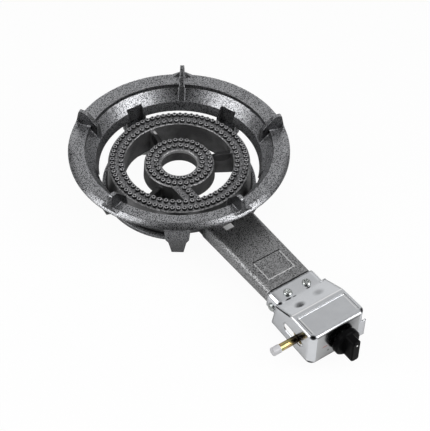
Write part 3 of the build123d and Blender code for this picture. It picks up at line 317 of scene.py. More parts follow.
def cast_iron(name, dark, light, roughness, grain_strength):
    """Bare casting: a soft cloud and a fine grain set its tone, and the grain tilts its normal."""
    material, tree, shader, position = new_material(name)
    pattern = use_group(tree, grain, {"Position": position})
    blend = calc(tree, "MULTIPLY_ADD", pattern["Cloud"], 0.5, pattern["Grain"])
    colour = tint(tree, remap(tree, blend, 0.2, 1.2), dark, light)
    normal = bump(tree, pattern["Grain"], grain_strength, 0.4, bevel(tree, 0.9 * MM, 4))
    fill(tree, shader, {"Normal": normal, "Metallic": 0.8, "Roughness": roughness})
    return material, tree, shader, position, colour


print("helpers for castings:", [f.__name__ for f in (hammer_paint, lay_paint, cast_iron)])

# %% [markdown]
# The stand is one iron casting in silver hammered paint. The rim of its pan ring
# rolls over, and the roll is what glints at the front. It could be a wide fillet,
# but the solid has a small rounding there and CAD meshes stay as they are, so the
# material bends the normal outwards, by an angle that grows with the radius on
# the flange and then with the depth on the outer face. The lugs' flanks carry
# painted shade, darker than the flange, a painted highlight runs as a bright line
# along their feet, and the lower ring's top carries painted shade.

# %% Rolled rim
FLAT_END = 117.0  # the flange is flat up to this radius, where the roll starts
ROLL_KNEE = 118.6
RING_EDGE = 125.0
RIM_TOP = 78.4
RIM_FOOT = 72.5
RIM_BAND = (75.7, 3.1)  # middle and half height of the rolled part
KNEE_ANGLE, EDGE_ANGLE, FACE_ANGLE = 0.55, 0.25, 0.45  # radians that each stretch adds
RING_BACK = (0.594, 0.804, 0.0)  # level direction to the back of the ring


def roll_over(tree, height, flat, radius):
    """Normal of the rolled rim: outward times sin a plus upward times cos a.

    The angle a grows quickly past the flat, slowly on to the edge, then down the outer face.
    It fades out at the back of the ring.
    """
    outward = vector(tree, "NORMALIZE", flat)
    to_knee = remap_mm(tree, radius, FLAT_END, ROLL_KNEE, 0.0, KNEE_ANGLE)
    to_edge = remap_mm(tree, radius, ROLL_KNEE, RING_EDGE, 0.0, EDGE_ANGLE)
    down_face = remap_mm(tree, height, RIM_TOP, RIM_FOOT, 0.0, FACE_ANGLE)
    full = calc(tree, "ADD", calc(tree, "ADD", to_knee, to_edge), down_face)
    to_back = vector(tree, "DOT_PRODUCT", outward, RING_BACK)
    angle = calc(tree, "MULTIPLY", full, remap(tree, to_back, 0.35, -0.15))
    out_part = vector(tree, "SCALE", outward, Scale=calc(tree, "SINE", angle))
    upright = {"Z": calc(tree, "COSINE", angle)}
    return vector(tree, "ADD", out_part, add(tree, "ShaderNodeCombineXYZ", upright).outputs[0])


print("the rim rolls by up to", round(KNEE_ANGLE + EDGE_ANGLE + FACE_ANGLE, 2), "radians")

# %% Stand paint
LIP_TOP = (94.4, 61.4)  # radius and height where the lip turns into the cone
CONE_TOP = (106.2, 73.4)  # and where the cone meets the step up to the flange
FLANGE_STEP = 5.1
LIP_FOOT = 45.0  # the lip lies above this height
LUG_START = 98.0  # the lugs begin at this radius
LUG_RISE = 1.1  # and stand up from the cone and the flange by more than this
FOOT_RISE = (0.7, 0.4)  # middle and half width of the painted highlight at their feet
FOOT_RADIUS = (104.5, 6.0)
RING_SHADE = ((0.0, 0.0, 22.0), (88.0, 88.0, 8.0), 0.97)  # painted shade on the lower ring's top
LEVEL = (1.0, 1.0, 0.0)  # keeps the level part of a position


def paint_stand():
    """Hammered paint with the rim's roll, painted shade on the lug flanks and the lower ring, and a
    painted highlight at the lug feet.
    """
    material, tree, shader, position, dimple, colour = hammer_paint(
        "stand_paint", (0.04, 0.04, 0.044), (0.44, 0.445, 0.46), 0.32
    )
    height = split(tree, position)[2]
    flat = vector(tree, "MULTIPLY", position, LEVEL)
    radius = vector(tree, "LENGTH", flat)
    on_rim = all_of(tree, near(tree, height, *RIM_BAND), above(tree, radius, FLAT_END))
    rolled = roll_over(tree, height, flat, radius)
    normal = mix(tree, "VECTOR", on_rim, bevel(tree, 1.0 * MM, 8), rolled)

    levels = (LIP_TOP[1] * MM, CONE_TOP[1] * MM)
    cone_level = remap_mm(tree, radius, LIP_TOP[0], CONE_TOP[0], *levels)
    past_cone = above(tree, radius, CONE_TOP[0])
    ground = calc(tree, "MULTIPLY_ADD", past_cone, FLANGE_STEP * MM, cone_level)
    rise = calc(tree, "SUBTRACT", height, ground)
    on_lug = all_of(tree, above(tree, rise, LUG_RISE), above(tree, radius, LUG_START))
    on_lip = all_of(tree, under(tree, radius, LUG_START), above(tree, height, LIP_FOOT))
    # painted shade: lug flanks keep less of the tone than other upright faces, the lip more
    lug_shade_share = calc(tree, "MULTIPLY_ADD", on_lug, -0.3, 0.55)
    side_share = calc(tree, "MULTIPLY_ADD", on_lip, 0.3, lug_shade_share)
    flanked = lay_paint(tree, shader, dimple, colour, normal, side_share, 0.25)

    # painted highlight along the lugs' feet, and painted shade on the lower ring's top
    lug_foot_highlight = all_of(tree, near(tree, rise, *FOOT_RISE), near(tree, radius, *FOOT_RADIUS))
    ring_shade = mark(tree, position, *RING_SHADE)
    layers = ((lug_foot_highlight, (0.75, 0.75, 0.76)), (ring_shade, (0.035, 0.035, 0.036)))
    fill(tree, shader, {"Base Color": overlay(tree, flanked, *layers)})
    return material


stand_paint = paint_stand()
print(stand_paint.name, "has", len(stand_paint.node_tree.nodes), "nodes")

# %% [markdown]
# The mixing arm wears the same paint. Its top carries a raised square, whose lines
# carry a painted highlight, apart from the one on the ring's side, which carries
# painted shade. Brighter strips could lie on top, but the lines are part of the
# solid, so the paint finds them by their height. Along the arm's sides the casting
# is well rounded, so the Bevel radius grows there. A line of painted shadow lies on
# the arm behind the cover's saddle, and the arm's undersides carry painted shade.

# %% Arm paint
ARM_FLAT_END = 19.5  # the arm's top is flat up to this distance from the middle
ARM_SIDE = 22.0
SQUARE_FOOT, SQUARE_TOP = 46.25, 46.5  # heights of the raised lines
SQUARE_RING_SIDE = (-166.0, 1.0)  # Y and half width of the line next to the ring
SADDLE_SHADOW = (-208.2, 1.3)  # Y and half width of the painted shadow on the arm behind the cover's saddle


def paint_arm():
    """Hammered paint with rounded sides, painted highlight and shade on the square's lines, and a
    painted shadow at the saddle.
    """
    material, tree, shader, position, dimple, colour = hammer_paint(
        "arm_paint", (0.05, 0.05, 0.051), (0.41, 0.412, 0.418), 0.42
    )
    x, y, z = split(tree, position)
    across = calc(tree, "ABSOLUTE", x)
    edge_round = remap_mm(tree, across, ARM_FLAT_END, ARM_SIDE, 0.6 * MM, 7.5 * MM)
    # the undersides keep half the tone: painted shade
    toned = lay_paint(tree, shader, dimple, colour, bevel(tree, edge_round, 8), 1.0, 0.5)
    # painted highlight on the square's lines, painted shade on the one next to the ring
    ring_side_shade = near(tree, y, *SQUARE_RING_SIDE)
    line_light_and_shade = tint(tree, ring_side_shade, (0.56, 0.56, 0.565), (0.03, 0.03, 0.03))
    raised = remap_mm(tree, z, SQUARE_FOOT, SQUARE_TOP)
    # painted shadow on the arm behind the cover's saddle
    saddle_shadow = near(tree, y, *SADDLE_SHADOW)
    layers = ((raised, line_light_and_shade), (saddle_shadow, (0.008, 0.008, 0.008)))
    fill(tree, shader, {"Base Color": overlay(tree, toned, *layers)})
    return material


arm_paint = paint_arm()
print(arm_paint.name, "has", len(arm_paint.node_tree.nodes), "nodes")

# %% [markdown]
# The burner is bare grey iron. Its upright faces carry painted shade, darker and
# cloudier than its level tops, and its webs a darker painted shade; its bore carries
# painted light, its lips a mottled painted highlight, and the back web a small
# painted highlight. Light and shade could be painted by hand; here a mask of each
# radius finds the lips and soft marks darken the webs, so the painted light and
# shade follow the casting's own sizes.

# %% Burner iron
# the bore's upright face carries painted light, and the lips a painted highlight
BORE_RADIUS = 20.8  # the inner ring's bore lies within this radius
LIP_RADII = (20.9, 39.4, 62.2, 80.4)
LIP_HALF = 0.6
# painted shade on the three webs, and below it a painted highlight on the back web's top
LEFT_WEB_SHADE = ((-47.5, -21.2, 48.0), (13.0, 11.0, 12.0), 0.7)
BACK_WEB_SHADE = ((3.6, 50.0, 48.0), (6.0, 12.5, 12.0), 0.7)
RIGHT_WEB_SHADE = ((50.5, -12.5, 50.0), (15.0, 10.0, 9.0), 0.9)
BACK_WEB_HIGHLIGHT = ((5.0, 57.0, 51.5), (3.2, 4.6, 4.0), 0.6)


def bare_burner():
    """Cast iron with painted shade on its cloudy upright faces and its webs, painted light on the
    bore and a painted highlight on the lips.
    """
    material, tree, shader, position, colour = cast_iron(
        "burner_iron", (0.012, 0.012, 0.013), (0.38, 0.38, 0.392), 0.4, 0.5
    )
    # painted shade: upright faces take a darker, cloudy tone than level tops
    facing = tree.nodes.new("ShaderNodeNewGeometry").outputs["Normal"]
    level_top = remap(tree, split(tree, facing)[2], 0.5, 0.9)
    wall_cloud = remap(tree, noise(tree, position, 38.0), 0.35, 0.65)
    shaded_walls = tint(tree, wall_cloud, (0.1, 0.1, 0.102), (0.22, 0.22, 0.223))
    faced = tint(tree, level_top, shaded_walls, colour)

    # painted shade on the webs, strongest on the right web's level top
    right_share = calc(tree, "MULTIPLY_ADD", level_top, 0.45, 0.55)
    right_web_shade = all_of(tree, mark(tree, position, *RIGHT_WEB_SHADE), right_share)
    left_web_shade, back_web_shade = (mark(tree, position, *web) for web in (LEFT_WEB_SHADE, BACK_WEB_SHADE))
    radius = vector(tree, "LENGTH", vector(tree, "MULTIPLY", position, LEVEL))
    upright = calc(tree, "SUBTRACT", 1.0, level_top)
    # painted highlight along the lips' tops, mottled by noise
    lips = any_of(tree, *(near(tree, radius, lip, LIP_HALF) for lip in LIP_RADII))
    lip_mottle = remap(tree, noise(tree, position, 420.0), 0.35, 0.65)
    lip_highlight_tone = tint(tree, lip_mottle, (0.12, 0.12, 0.122), (0.7, 0.7, 0.705))
    # painted shade on the webs, a painted highlight on the back web, painted light on the bore, a
    # painted highlight on the lips
    layers = (
        (any_of(tree, left_web_shade, back_web_shade, right_web_shade), (0.03, 0.03, 0.031)),
        (mark(tree, position, *BACK_WEB_HIGHLIGHT), (0.75, 0.75, 0.755)),
        (all_of(tree, under(tree, radius, BORE_RADIUS), upright), (0.62, 0.62, 0.626)),
        (all_of(tree, lips, level_top), lip_highlight_tone),
    )
    fill(tree, shader, {"Base Color": overlay(tree, faced, *layers)})
    return material


burner_iron = bare_burner()
print(burner_iron.name, "has", len(burner_iron.node_tree.nodes), "nodes")

# %% Port iron


def bare_ports():
    """Lighter cast iron, a painted highlight on the rims, that turns black where the mesh's depth
    attribute holds painted shade.
    """
    material, tree, shader, _, colour = cast_iron(
        "port_iron", (0.36, 0.36, 0.368), (0.8, 0.8, 0.818), 0.36, 0.2
    )
    # the depth attribute holds painted shade: black in the holes and low on the ports
    depth = add(tree, "ShaderNodeAttribute", {}, attribute_name="depth").outputs["Fac"]
    fill(tree, shader, {"Base Color": tint(tree, depth, colour, (0.004, 0.004, 0.004))})
    return material


port_iron = bare_ports()
print(port_iron.name, "has", len(port_iron.node_tree.nodes), "nodes")

# %% [markdown]
# Bolts, screws and washers are plated steel, and the valve is brass. A plain
# metal shader looks like a mirror; plated metal carries a faint cloud in its tone
# and a long wave in its normal, as rolled sheet does.

# %% Plated metal


def plated(name, low, high, roughness):
    """Plated metal: a faint cloud shifts the tone, and fine noise the roughness."""
    material, tree, shader, position = new_material(name)
    cloud = noise(tree, position, 60.0, 3.0)
    fine = noise(tree, position, 1400.0, 1.0)
    rough = calc(tree, "MULTIPLY_ADD", fine, 0.1, roughness - 0.05)
    fill(tree, shader, {"Metallic": 1.0, "Roughness": rough})
    return material, tree, shader, position, cloud, tint(tree, cloud, low, high)


def wavy(tree, cloud, wave, edge_radius):
    """Normal with rounded edges that a long wave bends."""
    return bump(tree, cloud, wave, 1.0, bevel(tree, edge_radius, 8))


def turned_metal(name, low, high, roughness, wave):
    """Plated metal for screws and fittings, with edges rounded by half a millimetre."""
    material, tree, shader, _, cloud, colour = plated(name, low, high, roughness)
    fill(tree, shader, {"Base Color": colour, "Normal": wavy(tree, cloud, wave, 0.5 * MM)})
    return material


bright_steel = turned_metal("bright_steel", (0.40, 0.42, 0.41), (0.55, 0.57, 0.56), 0.32, 0.2)
brass = turned_metal("brass", (0.62, 0.46, 0.2), (0.75, 0.6, 0.3), 0.28, 0.1)
print("turned metals:", bright_steel.name, "and", brass.name)

# %% [markdown]
# The cover is zinc plated sheet, bent and pressed. Its finish adds painted light
# and shade: painted reflections of the screws, two dark smudges over a shallow dent
# in the slope; painted shadows beside the screws; painted shade in the folded
# corners, the notch, the slit and the line beside each panel bead; painted
# highlights along the panel and the bend; painted shade on the front face with the
# knob's painted shadow and reflection; and a dark painted reflection below the front
# edge. It also adds the seam of the folded front and two plain marks printed beside
# the knob. Each could be a piece or a decal; as a mask it lies in the sheet itself,
# and the tones are laid on one after another.

# %% Cover masks
COVER_FRONT = -291.0  # Y of the front face
TOP_FOOT = 54.5  # the cover's top, with the panel and the bend, lies above this height
PANEL_Y = (-272.1, 12.3)  # middle and half length of the panel
PANEL_HALF_WIDTH = 31.5
BEAD_X, GROOVE_X = 28.8, 30.5  # painted highlight and painted shade line along each side of the panel
LINE_HALF = 0.6
BEND_Y = (-254.0, 0.9)  # middle and half width of the painted highlight along the bend
FRONT_FADE = (28.0, 26.5)  # the front's painted shade ends between these distances from the middle
SLIT_SLOPE, SLIT_LEVEL, SLIT_HALF = 0.356, -35.4, 0.9  # the slit lies where 0.356 y + z = -35.4
# painted reflections of the screws, the knob's painted shadow and reflection, a dark painted
# reflection below the front edge; the fold line is a seam, the dash and the dot are print
COVER_MARKS = {
    "left screw reflection": ((-14.6, -243.5, 52.2), (8.5, 6.5, 6.0), 0.1),
    "right screw reflection": ((12.4, -240.2, 51.8), (9.0, 7.0, 6.0), 0.1),
    "slit reach": ((-33.5, -240.0, 50.0), (5.0, 14.0, 11.0), 0.9),
    "knob shadow and reflection": ((2.0, COVER_FRONT, 48.0), (28.0, 3.0, 20.0), 0.1),
    "under edge reflection": ((0.0, -291.2, 53.6), (60.0, 0.6, 0.9), 0.6),
    "fold line": ((-27.6, COVER_FRONT, 35.0), (0.5, 0.5, 40.0), 0.6),
    "dash": ((-17.0, COVER_FRONT, 33.4), (4.4, 0.6, 0.8), 0.6),
    "dot": ((-12.0, COVER_FRONT, 24.6), (1.3, 0.6, 1.3), 0.6),
}
# painted shadows beside the screws, and painted shade in the notch and the folded corners
SPOTS_AND_CORNERS = (
    ((-17.0, -228.0, 47.6), (5.0, 1.3, 3.0), 0.5),
    ((-9.6, -228.4, 47.6), (3.4, 0.8, 3.0), 0.4),
    ((9.9, -227.2, 47.6), (3.6, 1.2, 3.0), 0.5),
    ((-28.0, -228.0, 46.0), (3.4, 3.4, 5.0), 0.5),
    ((-32.6, -288.6, 55.4), (4.6, 4.6, 3.4), 0.45),
    ((32.6, -288.6, 55.4), (4.6, 4.6, 3.4), 0.45),
    ((-33.6, -288.5, 15.5), (5.5, 5.5, 3.4), 0.5),
)


def cover_masks(tree, position):
    """Masks of the cover's features by name, and the position's Y."""
    masks = {name: mark(tree, position, *shape) for name, shape in COVER_MARKS.items()}
    x, y, z = split(tree, position)
    across = calc(tree, "ABSOLUTE", x)
    on_top = above(tree, z, TOP_FOOT)
    in_width = under(tree, across, PANEL_HALF_WIDTH)
    panel = all_of(tree, near(tree, y, *PANEL_Y), in_width, on_top)
    bead = all_of(tree, near(tree, across, BEAD_X, LINE_HALF), panel)
    bend = all_of(tree, near(tree, y, *BEND_Y), on_top)
    in_front = near(tree, y, COVER_FRONT, LINE_HALF)
    # painted shade along the slit
    slope_line = calc(tree, "MULTIPLY_ADD", y, SLIT_SLOPE, z)
    slit = all_of(tree, near(tree, slope_line, SLIT_LEVEL, SLIT_HALF), masks["slit reach"])
    spots = [mark(tree, position, *shape) for shape in SPOTS_AND_CORNERS]
    masks["panel"] = panel
    masks["groove"] = all_of(tree, near(tree, across, GROOVE_X, LINE_HALF), panel)
    # painted highlights on the bead and the bend
    masks["bright lines"] = any_of(tree, bead, bend)
    # painted shade on the front face
    masks["front"] = all_of(tree, in_front, remap_mm(tree, across, *FRONT_FADE))
    masks["smears"] = calc(tree, "MULTIPLY_ADD", masks["right screw reflection"], 0.5, masks["left screw reflection"])
    masks["shade"] = any_of(tree, *spots, slit)
    return masks, y


print("cover:", len(COVER_MARKS), "named marks and", len(SPOTS_AND_CORNERS), "dark spots")

# %% Cover sheet


def plate_cover():
    """Zinc sheet whose edges are rounder on the saddle than along the panel."""
    material, tree, shader, position, cloud, colour = plated(
        "zinc_sheet", (0.64, 0.655, 0.68), (0.75, 0.765, 0.79), 0.18
    )
    masks, y = cover_masks(tree, position)
    sheet_round = remap_mm(tree, y, -233.0, -228.0, 3.6 * MM, 4.5 * MM)
    edge_round = mix(tree, "FLOAT", masks["panel"], sheet_round, 0.3 * MM)
    sheet_normal = wavy(tree, cloud, 0.1, edge_round)
    dented = bump(tree, masks["smears"], 0.3, 1.6, sheet_normal, invert=True)
    # painted light and shade laid over the zinc, with the seam line and the print among them
    layers = (
        (masks["front"], (0.44, 0.445, 0.45)),
        (masks["knob shadow and reflection"], (0.06, 0.062, 0.064)),
        (masks["smears"], (0.16, 0.165, 0.17)),
        (masks["groove"], (0.32, 0.325, 0.33)),
        (masks["bright lines"], (0.88, 0.885, 0.89)),
        (masks["under edge reflection"], (0.05, 0.052, 0.054)),
        (masks["fold line"], (0.35, 0.355, 0.36)),
        (masks["shade"], (0.03, 0.032, 0.034)),
        (masks["dash"], (0.42, 0.10, 0.09)),
        (masks["dot"], (0.02, 0.02, 0.02)),
    )
    fill(tree, shader, {"Base Color": overlay(tree, colour, *layers), "Normal": dented})
    return material


zinc_sheet = plate_cover()
print(zinc_sheet.name, "has", len(zinc_sheet.node_tree.nodes), "nodes")

# %% [markdown]
# The knob and the cap are plastic, the seals rubber, and the pipe is plated with
# yellow zinc. Yellow zinc turns from gold to green and violet as its thin film
# changes. A thin film shader would shift with the view, so the pipe runs noise
# through three fixed tones.

# %% Plastics, pipe and seals
GREEN, GOLD, VIOLET = (0.30, 0.33, 0.15), (0.62, 0.47, 0.19), (0.40, 0.24, 0.20)
IN_THE_SLOT = ((-30.0, -265.5, 32.2), (18.0, 12.0, 12.0), 0.6)


def speckled(name, scale, low, high, roughness):
    """A material whose tone follows fine noise, with its tree, shader and noise."""
    material, tree, shader, position = new_material(name)
    speck = noise(tree, position, scale)
    fill(tree, shader, {"Base Color": tint(tree, speck, low, high), "Roughness": roughness})
    return material, tree, shader, speck


def mould_knob():
    """Black plastic with a fine grain and little gloss."""
    material, tree, shader, speck = speckled(
        "knob_plastic", 700.0, (0.002, 0.002, 0.0022), (0.005, 0.005, 0.0053), 0.28
    )
    normal = bump(tree, speck, 0.05, 0.3, bevel(tree, 0.6 * MM, 4))
    fill(tree, shader, {"Normal": normal, "Specular IOR Level": 0.03})
    return material


def plate_pipe():
    """Yellow zinc: noise runs through green, gold and violet, and the slot's shade covers it."""
    material, tree, shader, position = new_material("pipe_zinc")
    ramp = add(tree, "ShaderNodeValToRGB", {"Fac": noise(tree, position, 130.0, 3.0)})
    stops = ramp.color_ramp.elements
    stops[0].position, stops[0].color = 0.32, (*GREEN, 1)
    stops[1].position, stops[1].color = 0.68, (*VIOLET, 1)
    stops.new(0.5).color = (*GOLD, 1)
    shade = mark(tree, position, *IN_THE_SLOT)
    colour = tint(tree, shade, ramp.outputs["Color"], (0.07, 0.055, 0.04))
    fill(tree, shader, {"Base Color": colour, "Metallic": 1.0, "Roughness": 0.2})
    return material


knob_plastic = mould_knob()
pipe_zinc = plate_pipe()
dot_paint = speckled("dot_paint", 2500.0, (0.7, 0.7, 0.69), (0.85, 0.85, 0.84), 0.4)[0]
cap_plastic = speckled("cap_plastic", 300.0, (0.44, 0.44, 0.455), (0.54, 0.54, 0.555), 0.3)[0]
seal_rubber = speckled("seal_rubber", 900.0, (0.02, 0.02, 0.02), (0.06, 0.06, 0.06), 0.7)[0]
print("the rest:", [m.name for m in (knob_plastic, pipe_zinc, dot_paint, cap_plastic, seal_rubber)])

# %% [markdown]
# ## Step 4: the CAD nodes take their finish
#
# A node whose solid already has the right shape stays as it is and only gets a
# material, so the dressed part and the CAD part can't drift apart.

# %% Finish the nodes
finishes = (
    (stand_paint, "stand"),
    (arm_paint, "mixing_arm"),
    (burner_iron, "burner_head"),
    (port_iron, "outer_ports inner_ports"),
    (zinc_sheet, "cover"),
    (bright_steel, "cover_screws head_bolts head_washers arm_bolts bonnet_screws"),
    (bright_steel, "plug_spring spindle valve_washer valve_nut"),
    (brass, "valve_body valve_plug bonnet injector inlet_nut ferrule"),
    (pipe_zinc, "inlet_pipe"),
    (cap_plastic, "pipe_cap"),
    (knob_plastic, "knob"),
    (seal_rubber, "arm_gasket spindle_seal"),
)
for material, names in finishes:
    for name in names.split():
        nodes[name].data.materials.clear()
        nodes[name].data.materials.append(material)
    print(material.name, "on", names)

# %% [markdown]
# ## Step 5: a small kit for surfaces
#
# Flame ports, screws and the knob's dot are turned parts. They could be made
# from Blender's primitives and modifiers, but a turned part is one formula, so
# here a surface is a grid of points: `grid_faces` joins neighbours to quads,
# `lathe` turns a profile round Z, and `place` repeats one shape at many places.
# All three work on whole arrays, so no loop visits single vertices. `new_piece`
# welds the points that meet at a pole, so every turned shape is closed.

# %% Surfaces


def grid_faces(rows, columns):
    """Quads of a grid whose rows are closed.

    Point (i, j) joins (i, j + 1), (i + 1, j + 1) and (i + 1, j).
    """
    i = np.arange(rows - 1)[:, None]
    j = np.arange(columns)[None, :]
    k = (j + 1) % columns
    corners = [i * columns + j, i * columns + k, (i + 1) * columns + k, (i + 1) * columns + j]
    return np.stack(corners, axis=-1).reshape(-1, 4)


def lathe(profile, segments):
    """Profile point (r, z) turned by angle t lies at (r cos t, r sin t, z)."""
    profile = np.asarray(profile, float)
    turn = np.linspace(0.0, 2.0 * np.pi, segments, endpoint=False)
    r = profile[:, :1]
    z = profile[:, 1:] + 0.0 * turn
    points = np.stack([r * np.cos(turn), r * np.sin(turn), z], axis=-1)
    return points.reshape(-1, 3), grid_faces(len(profile), segments)


def place(points, faces, origins, axes):
    """Copy k of a shape has point p at origin_k plus p times the rows (x, y, z) of axes_k."""
    origins = np.asarray(origins, float)
    axes = np.asarray(axes, float)
    many = np.einsum("pi,kij->kpj", points, axes) + origins[:, None, :]
    shift = np.arange(len(origins))[:, None, None] * len(points)
    return many.reshape(-1, 3), (faces[None] + shift).reshape(-1, faces.shape[1])


print("a closed row of 8 points and its neighbour make", len(grid_faces(2, 8)), "quads")

# %% Pieces
WELD_DIGITS = 5  # points that agree to this many decimals of a millimetre are one


def new_piece(name, points, faces, body, material, **attributes):
    """A smooth mesh from arrays in millimetres that rides on a body.

    Points that coincide become one. A quad whose first or last two corners meet at a pole
    keeps its three other corners as a triangle.
    """
    points, first, where = np.unique(
        np.round(points, WELD_DIGITS), axis=0, return_index=True, return_inverse=True
    )
    faces = where.reshape(-1)[faces]
    ends_in_pole = faces[:, 2] == faces[:, 3]
    starts_in_pole = faces[:, 0] == faces[:, 1]
    polygons = faces[~(ends_in_pole | starts_in_pole)].tolist()
    polygons += faces[ends_in_pole, :3].tolist() + faces[starts_in_pole, 1:].tolist()
    mesh = bpy.data.meshes.new(name)
    mesh.from_pydata((points * MM).tolist(), [], polygons)
    mesh.polygons.foreach_set("use_smooth", np.ones(len(mesh.polygons), bool))
    for key, values in attributes.items():
        attribute = mesh.attributes.new(key, "FLOAT", "POINT")
        attribute.data.foreach_set("value", np.asarray(values, float)[first])
    mesh.materials.append(material)
    mesh.update()
    piece = bpy.data.objects.new(name, mesh)
    bpy.context.scene.collection.objects.link(piece)
    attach(piece, body)
    print(name, "has", len(mesh.vertices), "points and", len(polygons), "faces on body", body)
    return piece


print("points within", 10.0**-WELD_DIGITS, "mm of each other are welded")

# %% [markdown]
# ## Step 6: flame ports, screws and the knob's dot
#
# The gas leaves through small cast nipples. The solids have them as plain studs;
# here each is a turned shape with a fillet, a wall, a rounded rim and a hole.
# One profile is turned once and then placed 189 times in four rows and a short
# one, which is lighter than a modifier for each. A point attribute carries painted
# shade: it tells the material how dark a point is, so the holes and the gaps
# between stay dark, and the lighter iron of the rims is a painted highlight.

# %% Flame ports
PORT_PROFILE = (  # radius, height and painted shade of each point
    (0.0, -0.1, 1.0),
    (3.3, -0.1, 0.7),
    (2.7, 0.3, 1.0),
    (2.45, 2.2, 0.9),
    (2.15, 3.1, 0.15),
    (1.75, 3.2, 0.0),
    (1.35, 2.9, 0.9),
    (1.25, 0.4, 1.0),
    (0.0, 0.4, 1.0),
)
PORT_SIDES = 8
OUTER_TOP, INNER_TOP = 56.2, 53.7  # heights of the rings' tops
OUTER_ROWS = ((76.3, 72, 0.0), (66.2, 57, 1.9))  # radius, count and first angle in degrees
INNER_ROWS = ((35.3, 33, 8.5), (26.4, 24, 7.5))
FEED_ROW = np.array([(-18.8, y, INNER_TOP) for y in (-38.0, -45.0, -52.0)])


def ring_row(radius, count, start, height):
    """Places on a circle: place k stands at angle start + 360 k / count, at one height."""
    angle = np.radians(start) + 2.0 * np.pi * np.arange(count) / count
    level = np.full(count, height)
    return np.stack([radius * np.cos(angle), radius * np.sin(angle), level], axis=-1)


port_profile = np.array(PORT_PROFILE)
port_points, port_faces = lathe(port_profile[:, :2], PORT_SIDES)
outer_places = [ring_row(*row, OUTER_TOP) for row in OUTER_ROWS]
inner_places = [ring_row(*row, INNER_TOP) for row in INNER_ROWS] + [FEED_ROW]
for name, rows in (("outer_ports", outer_places), ("inner_ports", inner_places)):
    places = np.concatenate(rows)
    upright = np.broadcast_to(np.eye(3), (len(places), 3, 3))
    points, faces = place(port_points, port_faces, places, upright)
    # painted shade of each point, from the profile's third column
    port_shades = np.tile(np.repeat(port_profile[:, 2], PORT_SIDES), len(places))
    piece = new_piece(name + "_drilled", points, faces, "stove", port_iron, depth=port_shades)
    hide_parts(name)

# %% [markdown]
# Four pan head screws hold the cover to the arm, two on the saddle and one on
# each side. A boolean could cut the crossed recess, but it leaves long thin faces,
# so the head is a height field on a polar grid: a flat dome, lowered where a
# point lies in the cross.

# %% Cover screws
HEAD_RADIUS = 4.75
HEAD_STEPS = (0.0, 0.4, 0.8, 1.3, 1.8, 2.3, 2.7, 3.2, 3.8, 4.3, 4.6, HEAD_RADIUS)
DOME_FALL = 0.55  # share of the head's height that the dome loses at its edge
CROSS_DEPTH = 1.5
CROSS_HALF = 0.16 * HEAD_RADIUS  # half width of the cross's arms
CROSS_REACH = 0.58 * HEAD_RADIUS


def pan_screw(height, shank_radius, shank_length, segments):
    """Head of height h (1 - 0.55 (r / R) to the 4th), minus a cross, over a flat and a shank."""
    turn = np.linspace(0.0, 2.0 * np.pi, segments, endpoint=False)
    r = np.array(HEAD_STEPS)[:, None] + 0.0 * turn
    x = r * np.cos(turn)
    y = r * np.sin(turn)
    dome = height * (1.0 - DOME_FALL * (r / HEAD_RADIUS) ** 4)
    in_cross = (np.minimum(abs(x), abs(y)) < CROSS_HALF) & (r < CROSS_REACH)
    head = np.stack([x, y, dome - CROSS_DEPTH * in_cross], axis=-1)
    shank = [(HEAD_RADIUS, 0.0), (shank_radius, 0.0)]
    shank += [(shank_radius, -shank_length), (0.0, -shank_length)]
    points = np.concatenate([head.reshape(-1, 3), lathe(shank, segments)[0]])
    return points, grid_faces(len(HEAD_STEPS) + len(shank), segments)[:, ::-1]


def upright_axes(turn):
    """Rows x, y and z of axes that are turned about +Z by an angle in radians."""
    c, s = math.cos(turn), math.sin(turn)
    return [[c, s, 0.0], [-s, c, 0.0], [0.0, 0.0, 1.0]]


screw_points, screw_faces = pan_screw(height=2.8, shank_radius=2.5, shank_length=6.4, segments=48)
screw_seats = (
    ((-12.4, -220.7, 47.6), upright_axes(math.radians(25.0))),
    ((12.4, -220.7, 47.6), upright_axes(0.9)),
    ((-31.0, -218.5, 34.5), [[0.0, 0.6, 0.8], [0.0, 0.8, -0.6], [-1.0, 0.0, 0.0]]),
    ((31.0, -218.5, 34.5), [[0.0, 0.6, 0.8], [0.0, -0.8, 0.6], [1.0, 0.0, 0.0]]),
)
points, faces = place(screw_points, screw_faces, *zip(*screw_seats))
screws = new_piece("cover_screws_crossed", points, faces, "stove", bright_steel)
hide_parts("cover_screws")

# %% [markdown]
# A dab of white paint on the grip bar shows which way the tap points. It could be
# a mask in the knob's plastic, but paint has a thickness and its own gloss, so it
# is a shallow dome whose edge sinks into the bar.

# %% Knob dot
DOT_PROFILE = ((0.0, 0.35), (0.6, 0.3), (1.0, 0.12), (1.2, -0.1), (0.0, -0.15))
DOT_PLACE = (6.0, -314.0, 41.7)
FACING_FRONT = ((1.0, 0.0, 0.0), (0.0, 0.0, 1.0), (0.0, -1.0, 0.0))

dot_points, dot_faces = lathe(DOT_PROFILE, 20)
points, faces = place(dot_points, dot_faces[:, ::-1], [DOT_PLACE], [FACING_FRONT])
new_piece("knob_dot", points, faces, "knob", dot_paint)

# %% [markdown]
# ## Step 7: stage, light and camera
#
# The floor is pale and keeps a soft shadow. A lamp could burn it out to white, but
# that would light the stove too, so its material shows the camera nearly white
# paper, with a grey patch of shade in the arm's window.

# %% Floor
FLOOR_HALF = 6000.0
WINDOW_SHADE = ((15.5, -73.5, 0.0), (16.0, 16.0, 5.0), 0.6)
WHITE_SHARE, SHADED_SHARE = 0.95, 0.1  # how much of the floor is white to the camera

